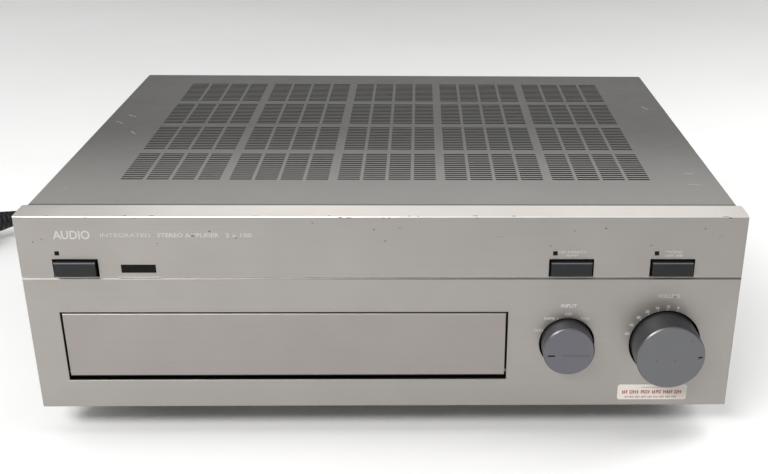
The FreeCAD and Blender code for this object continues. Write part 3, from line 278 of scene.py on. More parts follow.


# ---------------------------------------------------------------- the front's finishes, with painted light and shade

def fascia_finish(name, colour):
    """Satin anodised aluminium with a fine horizontal grain.

    The top face is painted lighter as if lit from above, and the front edge carries a painted highlight. The
    engraved line has a painted highlight above a painted shadow, and the walls of openings carry painted
    shade near black.
    """
    s = Shader(name, Metallic=0.8)
    lines = s.noise(1, 4, (5, 5, 1500))
    hair = s.mix(s.ramp(lines, 0.25, 0.75), shade(colour, 0.98), shade(colour, 1.02))
    # Painted light: the top face is painted 2.75 times lighter, standing for light falling from above.
    painted_top_light = s.ramp(s.axis("Z"), FASCIA_TOP - 0.5 * MM, FASCIA_TOP - 0.1 * MM)
    # Painted highlight just above the engraved line and painted shadow just below it.
    groove_highlight_band = s.near("Z", GROOVE_HEIGHT + 0.5 * MM, 0.5 * MM)
    groove_shadow_band = s.near("Z", GROOVE_HEIGHT - 0.5 * MM, 0.5 * MM)
    grain_and_painted_light = s.mix(s.ramp(groove_highlight_band, 0.0, 0.2), hair, shade(colour, 2.0))
    grain_and_painted_light = s.mix(s.ramp(groove_shadow_band, 0.0, 0.2), grain_and_painted_light, shade(colour, 0.5))
    # Painted shade: the walls of the openings, behind the front face, are painted near black.
    deep = s.ramp(s.axis("Y"), FRONT + 0.9 * MM, FRONT + 1.1 * MM)
    low_enough = s.ramp(s.axis("Z"), OPENINGS_TOP, OPENINGS_TOP + 1 * MM, (1.0, 0.0))
    high_enough = s.ramp(s.axis("Z"), OPENINGS_FOOT, OPENINGS_FOOT + 1 * MM)
    inboard = s.ramp(s.math("ABSOLUTE", s.axis("X")), OPENINGS_REACH, OPENINGS_REACH + 1 * MM, (1.0, 0.0))
    within = s.math("MULTIPLY", low_enough, high_enough)
    opening_wall_shade = s.math("MULTIPLY", s.math("MULTIPLY", deep, inboard), within)
    grain_and_painted_light = s.mix(opening_wall_shade, grain_and_painted_light, (0.012, 0.012, 0.012))
    with_painted_top_light = s.mix(painted_top_light, grain_and_painted_light, shade(colour, 2.75))
    # Painted highlight along the rounded front edge of the top face.
    across = s.ramp(s.axis("Y"), FRONT + 0.8 * MM, FRONT + 1.1 * MM, (1.0, 0.0))
    front_edge_highlight = s.math("MULTIPLY", across, s.ramp(s.axis("Z"), FASCIA_TOP - 0.55 * MM, FASCIA_TOP - 0.45 * MM))
    with_front_edge_highlight = s.mix(front_edge_highlight, with_painted_top_light, (0.97, 0.96, 0.94))
    thumbed = s.ramp(s.noise(7, 4), 0.3, 0.7, (0.0, 0.12))
    s.colour(s.mix(thumbed, with_front_edge_highlight, shade(colour, 0.7)))
    s.rough(s.ramp(s.noise(24, 5, roughness=0.65), 0.3, 0.75, (0.36, 0.45)))
    s.bump(lines, 0.006 * MM, 0.5)
    s.bump(s.noise(2400, 2), 0.012 * MM, 0.4)
    return s


def door_finish(name, colour):
    """The flap's satin metal, with a painted highlight along the upper edge and a painted shadow along the
    lower one.
    """
    s = Shader(name, Metallic=0.8)
    low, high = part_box("door")
    lines = s.noise(1, 4, (5, 5, 1500))
    hair = s.mix(s.ramp(lines, 0.25, 0.75), shade(colour, 0.98), shade(colour, 1.02))
    # Painted highlight along the flap's upper edge.
    door_edge_highlight = s.ramp(s.axis("Z"), high.z - 0.7 * MM, high.z - 0.5 * MM)
    with_door_edge_highlight = s.mix(door_edge_highlight, hair, shade(colour, 1.35))
    # Painted shadow: a near-black band along the flap's lower edge stands for the gap below it.
    lower = s.ramp(s.axis("Z"), low.z + 0.8 * MM, low.z + 1.0 * MM, (1.0, 0.0))
    s.colour(s.mix(lower, with_door_edge_highlight, (0.012, 0.012, 0.012)))
    s.rough(s.ramp(s.noise(24, 5, roughness=0.65), 0.3, 0.75, (0.36, 0.45)))
    s.bump(lines, 0.006 * MM, 0.5)
    s.bump(s.noise(2400, 2), 0.012 * MM, 0.4)
    return s


def button_finish(name, colour):
    """Grained black plastic, with a painted highlight along the upper front edge."""
    s = moulded(name, colour, 0.36, IOR=1.36)
    low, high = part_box("power_button")
    grained = s.surface.inputs["Base Color"].links[0].from_socket
    # Painted highlight: a pale band along the upper front edge of the button.
    button_edge_highlight = s.math("MULTIPLY", s.near("Z", high.z - 0.55 * MM, 0.6 * MM), s.near("Y", low.y, 1.0 * MM))
    s.colour(s.mix(s.ramp(button_edge_highlight, 0.05, 0.4), grained, (0.11, 0.11, 0.112)))
    return s


def cover_finish(name, colour):
    """Textured satin paint with scuffs, a painted shadow in the gap behind the fascia's top, and painted
    shade on the slot walls.

    Its tone falls towards the rear in the finish itself. That stands for fading light, not for real paint.
    """
    s = Shader(name, Metallic=0.25)
    body = drifting(s, colour, 0.03, 8)
    scratch = s.ramp(s.noise(35, 6, (1.0, 3.5, 1), 0.8), 0.655, 0.69, (0.0, 0.55))
    rearward = s.ramp(s.axis("Y"), -0.02, 0.12)
    # Painted shade: the cover's tone falls towards the rear.
    with_rear_shade = s.mix(s.ramp(s.axis("Y"), -0.15, 0.02), body, shade(colour, REAR_SHADE))
    scuffed = s.mix(s.math("MULTIPLY", scratch, rearward), with_rear_shade, shade(colour, 1.6))
    # Painted shadow: a dark band along the cover's front edge, behind the fascia's top.
    lip_gap_shadow = s.ramp(s.axis("Y"), -151.6 * MM, -150.6 * MM, (1.0, 0.0))
    with_lip_gap_shadow = s.mix(lip_gap_shadow, scuffed, shade(colour, 0.45))
    # Painted shade: the walls of the vent slots, below the top face, are painted near black.
    sunk = s.ramp(s.axis("Z"), COVER_TOP - 0.14 * MM, COVER_TOP - 0.06 * MM, (1.0, 0.0))
    off_side = s.ramp(s.math("ABSOLUTE", s.axis("X")), 0.19, 0.2, (1.0, 0.0))
    off_rear = s.ramp(s.axis("Y"), 0.15, 0.16, (1.0, 0.0))
    slot_wall_shade = s.math("MULTIPLY", s.math("MULTIPLY", sunk, off_side), off_rear)
    s.colour(s.mix(slot_wall_shade, with_lip_gap_shadow, (0.008, 0.008, 0.008)))
    s.rough(s.ramp(s.noise(30, 5, roughness=0.7), 0.35, 0.75, (0.48, 0.56)))
    s.bump(s.noise(1500, 2), 0.06 * MM, 0.5)
    return s


def knob_finish(name, node, face, side):
    """A turned knob: a light spun face, a darker side, and fine turning marks in both."""
    s = Shader(name, Metallic=0.75)
    low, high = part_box(node)
    middle = (low + high) / 2
    radius = s.polar(middle.x, KNOB_HEIGHT)[0]
    turned = s.math("SINE", s.math("MULTIPLY", radius, 14000.0))
    depth = s.ramp(s.axis("Y"), low.y + 0.35 * MM, low.y + 0.8 * MM)
    front_tone = s.mix(s.ramp(turned, -1, 1), shade(face, 0.97), shade(face, 1.03))
    side_tone = drifting(s, side, 0.05, 40)
    sunk = s.ramp(s.axis("Y"), low.y + 0.15 * MM, low.y + 0.25 * MM)
    inside = s.ramp(radius, (high.x - low.x) / 2 - 0.9 * MM, (high.x - low.x) / 2 - 0.8 * MM, (1.0, 0.0))
    turned_tone = s.mix(depth, front_tone, side_tone)
    s.colour(s.mix(s.math("MULTIPLY", sunk, inside), turned_tone, (0.004, 0.004, 0.008)))
    s.rough(s.ramp(s.noise(60, 5, roughness=0.7), 0.3, 0.75, (0.33, 0.42)))
    s.bump(turned, 0.004 * MM, 0.5)
    return s


# ---------------------------------------------------------------- finishes inside and at the rear

def board_finish(name, colour):
    """Green solder mask over copper tracks, with tinned pads."""
    s = Shader(name)
    tracks = s.ramp(s.bricks(38, (1, 1, 0.2)), 0.2, 0.8)
    masked = s.mix(tracks, shade(colour, 0.8), shade(colour, 1.7))
    pads = s.ramp(s.cells(230), 0.16, 0.2, (1.0, 0.0))
    s.colour(s.mix(pads, masked, (0.62, 0.62, 0.58)))
    s.rough(s.ramp(s.noise(90, 3), 0.3, 0.7, (0.24, 0.38)))
    s.bump(tracks, 0.05 * MM, 0.5)
    return s


def winding_finish(name, colour):
    """Overlapping turns of tape around the transformer's ring."""
    s = Shader(name)
    low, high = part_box("transformer_winding")
    middle = (low + high) / 2
    across = s.math("SUBTRACT", s.axis("X"), middle.x)
    along = s.math("SUBTRACT", s.axis("Y"), middle.y)
    angle = s.math("ARCTAN2", along, across)
    laps = s.math("FRACT", s.math("MULTIPLY", angle, 36 / math.tau))
    s.colour(s.mix(s.ramp(laps, 0.0, 0.9), shade(colour, 0.72), drifting(s, colour, 0.08, 30)))
    s.rough(s.ramp(s.noise(120, 3), 0.3, 0.7, (0.3, 0.45)))
    s.bump(laps, 0.25 * MM, 0.8)
    return s


def capacitor_finish(name, colour):
    """Shrink sleeve with a pale band near its foot and fine rows of print-like flecks."""
    s = Shader(name)
    low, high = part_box("reservoir_capacitors")
    band = s.near("Z", low.z + (high.z - low.z) * 0.2, 3 * MM)
    flecks = s.ramp(s.noise(1, 2, (900, 900, 260)), 0.6, 0.66)
    rows = s.near("Z", low.z + (high.z - low.z) * 0.6, 8 * MM)
    printed = s.mix(s.math("MULTIPLY", flecks, rows), drifting(s, colour, 0.1, 40), (0.6, 0.62, 0.66))
    s.colour(s.mix(s.ramp(band, 0.4, 0.6), printed, (0.55, 0.56, 0.6)))
    s.rough(s.ramp(s.noise(80, 3), 0.3, 0.7, (0.2, 0.32)))
    s.bump(s.noise(140, 3), 0.08 * MM, 0.4)
    return s


def ribbed(s, axis, pitch, depth):
    """Adds fine parallel ribs along an axis."""
    s.bump(s.math("SINE", s.math("MULTIPLY", s.axis(axis), math.tau / pitch)), depth, 0.7)
    return s


def ringed(s, direction, start, end, pitch, depth):
    """Adds raised rings around a part that lies along a direction, between two stations on it."""
    station = 0.0
    for name, share in zip("XYZ", direction):
        station = s.math("ADD", s.math("MULTIPLY", s.axis(name), share), station)
    waves = s.math("SINE", s.math("MULTIPLY", station, math.tau / pitch))
    middle, reach = (start + end) / 2, (end - start) / 2
    offset = s.math("ABSOLUTE", s.math("SUBTRACT", station, middle))
    s.bump(s.math("MULTIPLY", waves, s.ramp(offset, reach * 0.9, reach, (1.0, 0.0))), depth, 1.0)
    return s


def knurled(s, node, count, depth):
    """Adds grip ribs around a round part whose line runs from front to rear."""
    low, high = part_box(node)
    angle = s.polar((low.x + high.x) / 2, (low.z + high.z) / 2)[1]
    s.bump(s.math("SINE", s.math("MULTIPLY", angle, float(count))), depth, 0.9)
    return s


def spangled(name, colour):
    """Zinc-plated sheet with its crystal spangle."""
    s = Shader(name, Metallic=1.0)
    grains = s.ramp(s.cells(160, output="Color"), 0.1, 0.9)
    s.colour(s.mix(grains, shade(colour, 0.82), shade(colour, 1.1)))
    s.rough(s.ramp(s.cells(160, output="Color"), 0.0, 1.0, (0.28, 0.46)))
    s.bump(s.noise(900, 3), 0.01 * MM, 0.5)
    return s


def paper_finish(name, colour):
    """Printed label stock: paper fibres, a little yellowing, and soiling at random places."""
    s = Shader(name, **{"Specular IOR Level": 0.3})
    body = drifting(s, colour, 0.03, 90)
    soil = s.ramp(s.noise(350, 4, roughness=0.7), 0.6, 0.78, (0.0, 0.3))
    s.colour(s.mix(soil, body, shade(colour, 0.7)))
    s.rough(s.ramp(s.noise(700, 3), 0.3, 0.7, (0.5, 0.65)))
    s.bump(s.noise(2600, 3, (1, 1, 4)), 0.01 * MM, 0.5)
    return s


def lens_finish(name, colour):
    """Polished dark acrylic with faint fingerprints."""
    s = Shader(name, IOR=1.22)
    s.colour(drifting(s, colour, 0.15, 120))
    s.rough(s.ramp(s.noise(160, 5, roughness=0.7), 0.35, 0.75, (0.08, 0.2)))
    return s


def slot_finishes():
    """The finish of every material slot of the record, by the slot's name."""
    made = {
        "fascia_paint": fascia_finish("fascia_satin", (0.352, 0.331, 0.309)),
        "flap_paint": door_finish("flap_satin", (0.318, 0.291, 0.276)),
        "cover_paint": cover_finish("cover_paint", (0.235, 0.229, 0.218)),
        "rear_paint": sprayed("rear_paint", (0.2, 0.195, 0.185), 0.5, 0.05),
        "dark_steel": sprayed("dark_steel", (0.03, 0.03, 0.033), 0.45),
        "board_green": board_finish("board_green", (0.03, 0.13, 0.05)),
        "winding_wrap": winding_finish("winding_wrap", (0.62, 0.44, 0.06)),
        "capacitor_sleeve": capacitor_finish("capacitor_sleeve", (0.015, 0.03, 0.11)),
        "sticker_paper": paper_finish("sticker_paper", (0.70, 0.655, 0.60)),
        "indicator_lens": lens_finish("indicator_lens", (0.004, 0.003, 0.004)),
        "ir_lens": lens_finish("ir_lens", (0.002, 0.002, 0.002)),
        "zinc_steel": spangled("zinc_steel", (0.56, 0.57, 0.58)),
    }
    metals = {
        "bolt_steel": ((0.6, 0.6, 0.6), 0.3, (1, 1, 30), 60),
        "motor_steel": ((0.62, 0.62, 0.62), 0.28, (1, 20, 1), 60),
        "pot_steel": ((0.5, 0.5, 0.51), 0.35, (1, 1, 1), 700),
        "shaft_steel": ((0.6, 0.6, 0.6), 0.22, (1, 40, 1), 60),
        "washer_steel": ((0.56, 0.56, 0.56), 0.35, (1, 1, 1), 900),
        "screw_steel": ((0.075, 0.075, 0.078), 0.38, (1, 1, 1), 1200),
        "pin_nickel": ((0.74, 0.72, 0.66), 0.16, (1, 1, 8), 120),
        "socket_nickel": ((0.72, 0.7, 0.65), 0.2, (1, 30, 1), 50),
        "stud_brass": ((0.72, 0.53, 0.22), 0.22, (1, 30, 1), 50),
        "standoff_brass": ((0.62, 0.45, 0.17), 0.28, (1, 1, 20), 60),
        "sink_black": ((0.05, 0.05, 0.054), 0.42, (1, 60, 1), 30),
    }
    for slot, (colour, roughness, stretch, scale) in metals.items():
        made[slot] = metal(slot, colour, roughness, stretch, scale)
    plastics = {
        "black_plastic": ((0.022, 0.022, 0.024), 0.5),
        "cap_black": ((0.02, 0.02, 0.02), 0.25),
        "cap_red": ((0.42, 0.015, 0.012), 0.25),
        "device_plastic": ((0.02, 0.02, 0.021), 0.5),
        "foot_plastic": ((0.022, 0.022, 0.023), 0.55),
        "gear_plastic": ((0.78, 0.76, 0.7), 0.4),
        "insert_red": ((0.5, 0.02, 0.015), 0.35),
        "insert_white": ((0.8, 0.79, 0.75), 0.35),
        "jack_plastic": ((0.025, 0.025, 0.025), 0.4),
        "lead_pvc": ((0.009, 0.009, 0.0095), 0.42),
        "pad_rubber": ((0.02, 0.02, 0.02), 0.75),
        "plug_rubber": ((0.0035, 0.0035, 0.004), 0.55),
        "relay_plastic": ((0.06, 0.075, 0.11), 0.3),
        "relief_rubber": ((0.02, 0.02, 0.02), 0.6),
        "small_knob": ((0.035, 0.035, 0.037), 0.45),
        "switch_plastic": ((0.05, 0.05, 0.05), 0.45),
        "terminal_black": ((0.022, 0.022, 0.022), 0.45),
        "tie_black": ((0.02, 0.02, 0.02), 0.4),
    }
    for slot, (colour, roughness) in plastics.items():
        made[slot] = moulded(slot, colour, roughness)
    made["button_plastic"] = button_finish("button_plastic", (0.0098, 0.0104, 0.0116))
    ribbed(made["sink_black"], "Y", 0.9 * MM, 0.04 * MM)
    ribbed(made["relief_rubber"], "Y", 3.0 * MM, 0.3 * MM)
    neck = -0.3475 * PLUG_AXIS.x + 0.1655 * PLUG_AXIS.y
    ringed(made["plug_rubber"], PLUG_AXIS, neck, neck + 22 * MM, 4.4 * MM, 1.2 * MM)
    return made


def node_finishes():
    """Parts whose finish depends on their own middle line."""
    made = {}
    for node, face, side in (("volume_knob", (0.145, 0.147, 0.155), (0.095, 0.098, 0.104)),
                             ("input_knob", (0.135, 0.134, 0.152), (0.13, 0.128, 0.134))):
        made[node] = knob_finish(node, node, face, side)
    for node in ("bass_knob", "treble_knob", "balance_knob"):
        made[node] = knurled(moulded(node, (0.035, 0.035, 0.037), 0.45), node, 36, 0.3 * MM)
    for side in ("left", "right"):
        for sign, colour in (("minus", (0.02, 0.02, 0.02)), ("plus", (0.42, 0.015, 0.012))):
            node = "terminal_cap_%s_%s" % (side, sign)
            made[node] = knurled(moulded(node, colour, 0.25), node, 20, 0.4 * MM)
    return made


def dress_nodes():
    by_slot = slot_finishes()
    by_node = node_finishes()
    slots = {part["node"]: part["material_slot"] for part in frame["record"]["subparts"]}
    for name, thing in nodes.items():
        finish = by_node.get(name) or by_slot[slots[name]]
        thing.data.materials.clear()
        thing.data.materials.append(finish.material)
    return by_slot


# ---------------------------------------------------------------- pieces

def add_piece(name, data, finish, body="chassis"):
    piece = bpy.data.objects.new(name, data)
    bpy.context.scene.collection.objects.link(piece)
    data.materials.append(finish.material)
    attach(piece, body)
    return piece


CORD_RADIUS = 3.5 * MM
COIL_MIDDLE = Vector((-0.084, 0.240, 0))
TURN_STEP = 15
COIL_RADII = ((0, 45.5), (300, 45.5), (360, 38.5), (660, 38.5), (720, 31.5),
              (1260, 31.5), (1320, 38.5), (1620, 38.5), (1680, 45.5), (1980, 45.5))
COIL_HEIGHTS = ((0, 3.5), (960, 3.5), (1020, 10.5), (1980, 10.5))
LEAD_TO_COIL = (
    (-0.185, 0.193, 0.046), (-0.185, 0.212, 0.045), (-0.184, 0.232, 0.037), (-0.181, 0.250, 0.025),
    (-0.174, 0.267, 0.013), (-0.161, 0.280, 0.0055), (-0.142, 0.2885, 0.0035), (-0.117, 0.2885, 0.0035),
)
LEAD_TO_PLUG = (
    (-0.120, 0.1935, 0.0077), (-0.158, 0.1955, 0.0035), (-0.202, 0.1995, 0.0035), (-0.248, 0.206, 0.0035),
    (-0.284, 0.2055, 0.0035), (-0.3095, 0.1955, 0.0055), (-0.3283, 0.1799, 0.0122), (-0.3475, 0.1655, 0.0192),
)


def along(stations, swept):
    """The value at an angle, on straight lines between stations of (angle, value)."""
    for (low, first), (high, second) in zip(stations, stations[1:]):
        if swept <= high:
            return first + (second - first) * (swept - low) / (high - low)


def coil_turns():
    """Three turns on the floor from the outside in, then two and a half on top from the inside out."""
    spread = 1 / math.cos(math.radians(TURN_STEP / 2))
    points = []
    for swept in range(0, COIL_RADII[-1][0] + 1, TURN_STEP):
        angle = math.radians(90 - swept)
        radius = along(COIL_RADII, swept) * MM * spread
        if swept in (0, COIL_RADII[-1][0]):
            radius /= spread
        rise = Vector((0, 0, along(COIL_HEIGHTS, swept) * MM))
        points.append(COIL_MIDDLE + radius * Vector((math.cos(angle), math.sin(angle), 0)) + rise)
    return points


def make_lead(finish):
    """The mains lead, from the strain relief through its coil to the plug's neck."""
    curve = bpy.data.curves.new("mains_lead", "CURVE")
    curve.dimensions = "3D"
    curve.resolution_u = 6
    curve.bevel_depth = CORD_RADIUS
    curve.bevel_resolution = 6
    curve.use_fill_caps = True
    route = [Vector(p) for p in LEAD_TO_COIL] + coil_turns() + [Vector(p) for p in LEAD_TO_PLUG]
    spline = curve.splines.new("NURBS")
    spline.points.add(len(route) - 1)
    for point, place in zip(spline.points, route):
        point.co = (*place, 1)
    spline.order_u = 3
    spline.use_endpoint_u = True
    lead = add_piece("mains_lead", curve, finish)
    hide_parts("mains_cord", "mains_cord_coil")


def rounded_outline(width, height, radius, steps=6):
    """The corners of an upright rectangle with rounded corners, about its middle."""
    points = []
    for x_side, z_side, start in ((1, 1, 0), (-1, 1, 90), (-1, -1, 180), (1, -1, 270)):
        for step in range(steps + 1):
            angle = math.radians(start + 90 * step / steps)
            points.append((x_side * (width / 2 - radius) + radius * math.cos(angle),
                           z_side * (height / 2 - radius) + radius * math.sin(angle)))
    return points


def plate_mesh(name, outlines, front, thickness):
    """Thin plates that face the front: each outline is a list of x, z points."""
    made = bmesh.new()
    for outline in outlines:
        near_ring = [made.verts.new((x, front, z)) for x, z in outline]
        far_ring = [made.verts.new((x, front + thickness, z)) for x, z in outline]
        made.faces.new(near_ring)
        made.faces.new(far_ring[::-1])
        for i, vertex in enumerate(near_ring):
            j = (i + 1) % len(near_ring)
            made.faces.new((vertex, far_ring[i], far_ring[j], near_ring[j]))
    bmesh.ops.recalc_face_normals(made, faces=made.faces)
    mesh = bpy.data.meshes.new(name)
    made.to_mesh(mesh)
    made.free()
    return mesh


def box_outline(left, right, low, high):
    return [(left * MM, low * MM), (right * MM, low * MM), (right * MM, high * MM), (left * MM, high * MM)]


def print_strokes(left, right, bottom, rise, pitch, stroke, bar):
    """Rows of plain strokes that read as small print and spell nothing."""
    outlines = []
    for count in range(int((right - left) / pitch)):
        place = left + count * pitch
        body = pitch * (0.78, 0.7, 0.82)[count % 3]
        outlines.append(box_outline(place, place + stroke, bottom, bottom + rise))
        if count % 3 != 1:
            outlines.append(box_outline(place + body - stroke, place + body, bottom, bottom + rise))
        for step in ((0, 1), (1, 2), (0, 2), (1,))[count % 4]:
            level = bottom + (rise - bar) * step / 2
            outlines.append(box_outline(place + stroke, place + body - stroke, level, level + bar))
    return outlines


def fleck(x, z, wide, high):
    """The uneven outline of a small chip or spot, in millimetres."""
    points = []
    for step in range(9):
        angle = math.tau * step / 9
        reach = 0.5 + 0.12 * math.sin(5 * angle + x + z)
        points.append(((x + wide * reach * math.cos(angle)) * MM, (z + high * reach * math.sin(angle)) * MM))
    return points


def ribbon(points, width):
    """The outline of a thin line along points in millimetres."""
    sides = []
    for i, (x, z) in enumerate(points):
        before, after = points[max(0, i - 1)], points[min(len(points) - 1, i + 1)]
        way = Vector((after[0] - before[0], after[1] - before[1])).normalized() * width / 2
        sides.append(((x - way.y) * MM, (z + way.x) * MM, (x + way.y) * MM, (z - way.x) * MM))
    return [(a, b) for a, b, c, d in sides] + [(c, d) for a, b, c, d in reversed(sides)]


def lay_flat(name, outlines, height, finish):
    """Thin plates on a level face, from outlines in x and y."""
    mesh = plate_mesh(name, outlines, -(height + 0.02 * MM), 0.02 * MM)
    add_piece(name, mesh, finish).rotation_euler = (-math.pi / 2, 0, 0)


def make_sticker(paper):
    """A rounded paper label with rows of plain printed marks."""
    low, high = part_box("front_sticker")
    middle = (low + high) / 2
    width, height = high.x - low.x, high.z - low.z
    outline = [(middle.x + x, middle.z + z) for x, z in rounded_outline(width, height, 1.7 * MM)]
    label = add_piece("front_label", plate_mesh("front_label", [outline], low.y, high.y - low.y),
                      paper)
    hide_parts("front_sticker")
    left, right, foot, top = low.x / MM, high.x / MM, low.z / MM, high.z / MM
    centre = (left + right) / 2
    rule = [box_outline(centre - 7, centre + 7, top - 2.2, top - 1.95)]
    rows = (
        ("label_title", print_strokes(left + 3, right - 2, foot + 4.3, 2.45, 2.4, 0.6, 0.5),
         (0.30, 0.05, 0.04)),
        ("label_notes", print_strokes(left + 5, right - 5, foot + 1.3, 1.25, 1.3, 0.3, 0.25),
         (0.25, 0.16, 0.14)),
        ("label_rule", rule, (0.2, 0.06, 0.05)),
    )
    for name, outlines, colour in rows:
        ink = sprayed(name + "_ink", colour, 0.5, 0.005, 2600, 0.25)
        add_piece(name, plate_mesh(name, outlines, low.y - 0.02 * MM, 0.02 * MM), ink)


def middle_of(node):
    """The middle of a node across and up, in millimetres."""
    low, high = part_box(node)
    return (low.x + high.x) / 2 / MM, (low.z + high.z) / 2 / MM


def strewn(seed, count, across, up, wide, high):
    """Flecks scattered over a rectangle: the same ones on each run."""
    draw = random.Random(seed)
    return [fleck(draw.uniform(*across), draw.uniform(*up), draw.uniform(*wide), draw.uniform(*high))
            for _ in range(count)]


def scratches(seed, count, across, up, reach, width):
    """Short bent scratches scattered over a rectangle: the same ones on each run."""
    draw = random.Random(seed)
    outlines = []
    for _ in range(count):
        x, y, angle = draw.uniform(*across), draw.uniform(*up), draw.uniform(0, math.tau)
        length, turn = draw.uniform(*reach), draw.uniform(-0.5, 0.5)
        bend = (x + length / 2 * math.cos(angle), y + length / 2 * math.sin(angle))
        end = (bend[0] + length / 2 * math.cos(angle + turn), bend[1] + length / 2 * math.sin(angle + turn))
        outlines.append(ribbon([(x, y), bend, end], width))
    return outlines


def make_wear():
    """Marks of use, scattered by seed within the faces that the frame gives, and a painted highlight strip
    under the IR window.
    """
    left, right = fascia_low.x / MM + 4, fascia_high.x / MM - 4
    front, top, groove = FRONT / MM, FASCIA_TOP / MM, GROOVE_HEIGHT / MM
    cover_low, cover_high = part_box("top_cover")
    bared = sprayed("bared_paint", (0.29, 0.285, 0.27), 0.5, 0.01, 2600, 0.2)
    margin = (cover_low.x / MM + 12, cover_low.x / MM + 26)
    far_margin = (cover_high.x / MM - 26, cover_high.x / MM - 12)
    depth = (cover_low.y / MM + 30, cover_high.y / MM - 30)
    scuffs = scratches(3, 4, margin, depth, (5, 12), 0.8) + scratches(5, 3, far_margin, depth, (5, 10), 0.8)
    lay_flat("cover_scuffs", scuffs, COVER_TOP, bared)
    grime = sprayed("grime", (0.07, 0.06, 0.05), 0.7, 0.03, 2600, 0.3)
    chips = strewn(7, 10, (left, right), (front + 0.8, front + 1.6), (1.5, 5.0), (0.5, 1.2))
    lay_flat("lip_chips", chips, FASCIA_TOP, grime)
    faint = sprayed("faint_marks", (0.2, 0.185, 0.165), 0.5, 0.01, 2600, 0.2)
    rubbed = metal("rubbed_face", (0.12, 0.117, 0.125), 0.36, (20, 1, 1), 60)
    spots = strewn(11, 9, (left, right), (top - 0.9, top - 0.6), (1.0, 3.5), (0.5, 0.9))
    spots += strewn(13, 8, (left, right), (groove + 19, top - 4), (0.7, 1.4), (0.6, 1.0))
    dull = strewn(17, 6, (left, right), (groove + 19, top - 4), (0.8, 2.0), (0.8, 1.6))
    dull += scratches(19, 2, (left + 12, right - 12), (groove + 25, top - 12), (4, 7), 0.3)
    volume_x, volume_z = middle_of("volume_knob")
    input_x, input_z = middle_of("input_knob")
    rub = [ribbon([(input_x - 4, input_z - 2.5), (input_x + 4, input_z - 2.6),
                   (input_x + 13, input_z - 2.8)], 1.1)]
    knob_marks = (
        ("volume_knob_specks", strewn(23, 3, (volume_x - 14, volume_x + 14), (volume_z - 13, volume_z + 13),
                                      (0.9, 1.6), (0.8, 1.3)), "volume_knob", grime, "volume_control"),
        ("input_knob_rub", rub, "input_knob", rubbed, "input_control"),
    )
    for name, outlines, node, finish, body in knob_marks:
        mesh = plate_mesh(name, outlines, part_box(node)[0].y - 0.01 * MM, 0.01 * MM)
        add_piece(name, mesh, finish, body)
    # Painted highlight: a thin bright strip under the IR window stands for light on the chamfer of its
    # opening.
    window_low, window_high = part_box("ir_window")
    foot = window_low.z / MM - 0.5
    window_highlight_strip = [box_outline(window_low.x / MM, window_high.x / MM, foot - 0.8, foot)]
    add_piece("window_edge_highlight", plate_mesh("window_edge_highlight", window_highlight_strip, FRONT - 0.01 * MM, 0.01 * MM),
              metal("window_highlight_metal", (0.5, 0.48, 0.47), 0.4, (1, 1, 30), 60))
    for name, outlines, finish in (("front_specks", spots, grime), ("front_scratches", dull, faint)):
        mesh = plate_mesh(name, outlines, FRONT - 0.01 * MM, 0.01 * MM)
        add_piece(name, mesh, finish)


def write_legend(name, text, x, z, cap, finish, width=None, depth=None, rear=False, bold=0.0):
    """Raised ink lettering, centred on x and z in millimetres, with capitals of the height cap."""
    curve = bpy.data.curves.new(name, "FONT")
    curve.body = text
    curve.size = cap * MM / 0.69
    curve.align_x = "CENTER"
    curve.align_y = "CENTER"
    curve.extrude = 0.015 * MM
    curve.offset = bold * MM
    curve.resolution_u = 3
    piece = add_piece(name, curve, finish)
    plane = FRONT if depth is None else depth
    if rear:
        piece.location = (x * MM, plane + 0.01 * MM, z * MM)
        piece.rotation_euler = (math.pi / 2, 0, math.pi)
    else:
        piece.location = (x * MM, plane - 0.01 * MM, z * MM)
        piece.rotation_euler = (math.pi / 2, 0, 0)
    if width:
        bpy.context.view_layer.update()
        piece.scale.x = width * MM / piece.dimensions.x
    return piece


VOLUME_SCALE = ("60", "40", "30", "20", "16", "12", "8")
VOLUME_STEP = 15
INPUT_SCALE = (("tape_2", "TAPE 2", 6.0, False), ("tape_1", "TAPE 1", 9.0, True),
               ("disc", "CD", 4.2, True), ("tuner", "TUNER", 5.6, False))
INPUT_STEP = 32


def around(node, reach, degrees):
    """A place at a reach from a knob's axis, at an angle from straight up, in millimetres."""
    x, z = middle_of(node)
    angle = math.radians(degrees)
    return x + reach * math.sin(angle), z + reach * math.cos(angle)


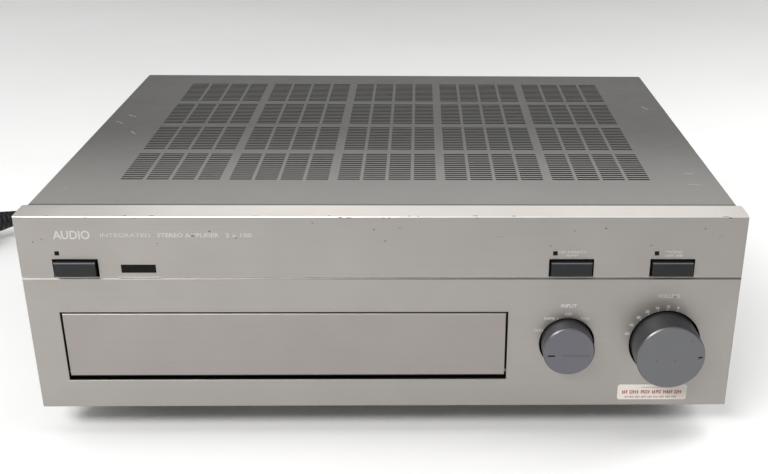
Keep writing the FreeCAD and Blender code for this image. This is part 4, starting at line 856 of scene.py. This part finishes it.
def make_legends(ink, faint_ink):
    """Lettering on the fascia: a title row, names over the controls, and a scale round each large knob."""
    title_height = FASCIA_TOP / MM - 12
    place = fascia_low.x / MM + 22.5
    for name, text, cap, width, gap, bold in (
            ("mark", "AUDIO", 5.2, 21.6, 6, 0.10), ("kind", "INTEGRATED", 2.3, 29.5, 4, -0.03),
            ("name", "STEREO AMPLIFIER", 2.5, 36.2, 4, 0.02), ("channels", "2 x 100", 2.5, 15.4, 4, 0.02)):
        middle = place + width / 2
        write_legend("legend_" + name, text, middle, title_height, cap, faint_ink, width, bold=bold)
        place += width + gap
    for name, text, node, rise, cap, used, width in (
            ("input", "INPUT", "input_knob", 9.6, 2.4, ink, 9.6),
            ("volume", "VOLUME", "volume_knob", 11.2, 2.4, faint_ink, 13.8),
            ("direct", "CD DIRECT", "direct_button", 5.8, 1.45, faint_ink, 17.3),
            ("direct_2", "AMP", "direct_button", 3.5, 1.3, faint_ink, 7.6),
            ("muting", "MUTING", "mute_button", 5.8, 1.45, faint_ink, 10.0),
            ("muting_2", "-20 dB", "mute_button", 3.5, 1.3, faint_ink, 11.8)):
        x = middle_of(node)[0]
        write_legend("legend_" + name, text, x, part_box(node)[1].z / MM + rise, cap, used, width, bold=0.03)
    for step, (name, text, width, strong) in enumerate(INPUT_SCALE):
        x, z = around("input_knob", 20.0, INPUT_STEP * (step - 2))
        used = ink if strong else faint_ink
        write_legend("legend_" + name, text, x, z, 1.6, used, width, bold=0.05)
    ticks = []
    for step, text in enumerate(VOLUME_SCALE):
        degrees = VOLUME_STEP * (step - 5)
        x, z = around("volume_knob", 25.0, degrees)
        write_legend("legend_volume_" + text, text, x, z, 1.6, ink, bold=0.07)
        tick = [around("volume_knob", reach, degrees) for reach in (22.7, 23.5)]
        ticks.append(ribbon(tick, 0.36))
    add_piece("legend_volume_ticks",
              plate_mesh("legend_volume_ticks", ticks, FRONT - 0.02 * MM, 0.02 * MM), ink)


def make_tray_legends(ink):
    """Lettering behind the flap, above the small controls."""
    for text, node in (("PHONES", "headphone_jack"), ("SPEAKERS A", "speakers_a_button"),
                       ("B", "speakers_b_button"), ("BASS", "bass_knob"), ("TREBLE", "treble_knob"),
                       ("BALANCE", "balance_knob")):
        name = "legend_" + text.split()[0].lower()
        write_legend(name, text, middle_of(node)[0], 78.5, 2.0, ink, depth=TRAY_WALL_FACE)
    for number, node in ((0, "bass_knob"), (45, "treble_knob"), (90, "balance_knob")):
        for sign, way, side in (("-", "low", -1), ("+", "high", 1)):
            write_legend("legend_tone_%d_%s" % (number, way), sign, middle_of(node)[0] + side * 9.5,
                         57.5, 1.8, ink, depth=TRAY_WALL_FACE)


def make_rear_legends(ink):
    for text, z in (("L", 118), ("R", 98)):
        write_legend("legend_rear_" + text, text, -1.5, z, 3.0, ink, depth=REAR_FACE, rear=True)
    for text, x in (("PHONO", 10), ("TUNER", 32), ("CD", 54), ("TAPE 1", 87), ("TAPE 2", 131), ("AUX", 175)):
        write_legend("legend_rear_" + text.replace(" ", "_"), text, x, 129.5, 2.4, ink,
                     depth=REAR_FACE, rear=True)
    write_legend("legend_rear_speakers", "SPEAKERS  8 OHMS", 60, 80.5, 2.6, ink, depth=REAR_FACE, rear=True)


set_camera()
set_stage()
finishes = dress_nodes()
make_lead(finishes["lead_pvc"])
make_sticker(finishes["sticker_paper"])
make_wear()
legend_ink = sprayed("legend_ink", (0.62, 0.605, 0.58), 0.5, 0.003, 2600)
faint_ink = sprayed("legend_ink_faint", (0.50, 0.485, 0.462), 0.5, 0.003, 2600)
make_legends(legend_ink, faint_ink)
make_tray_legends(legend_ink)
make_rear_legends(legend_ink)
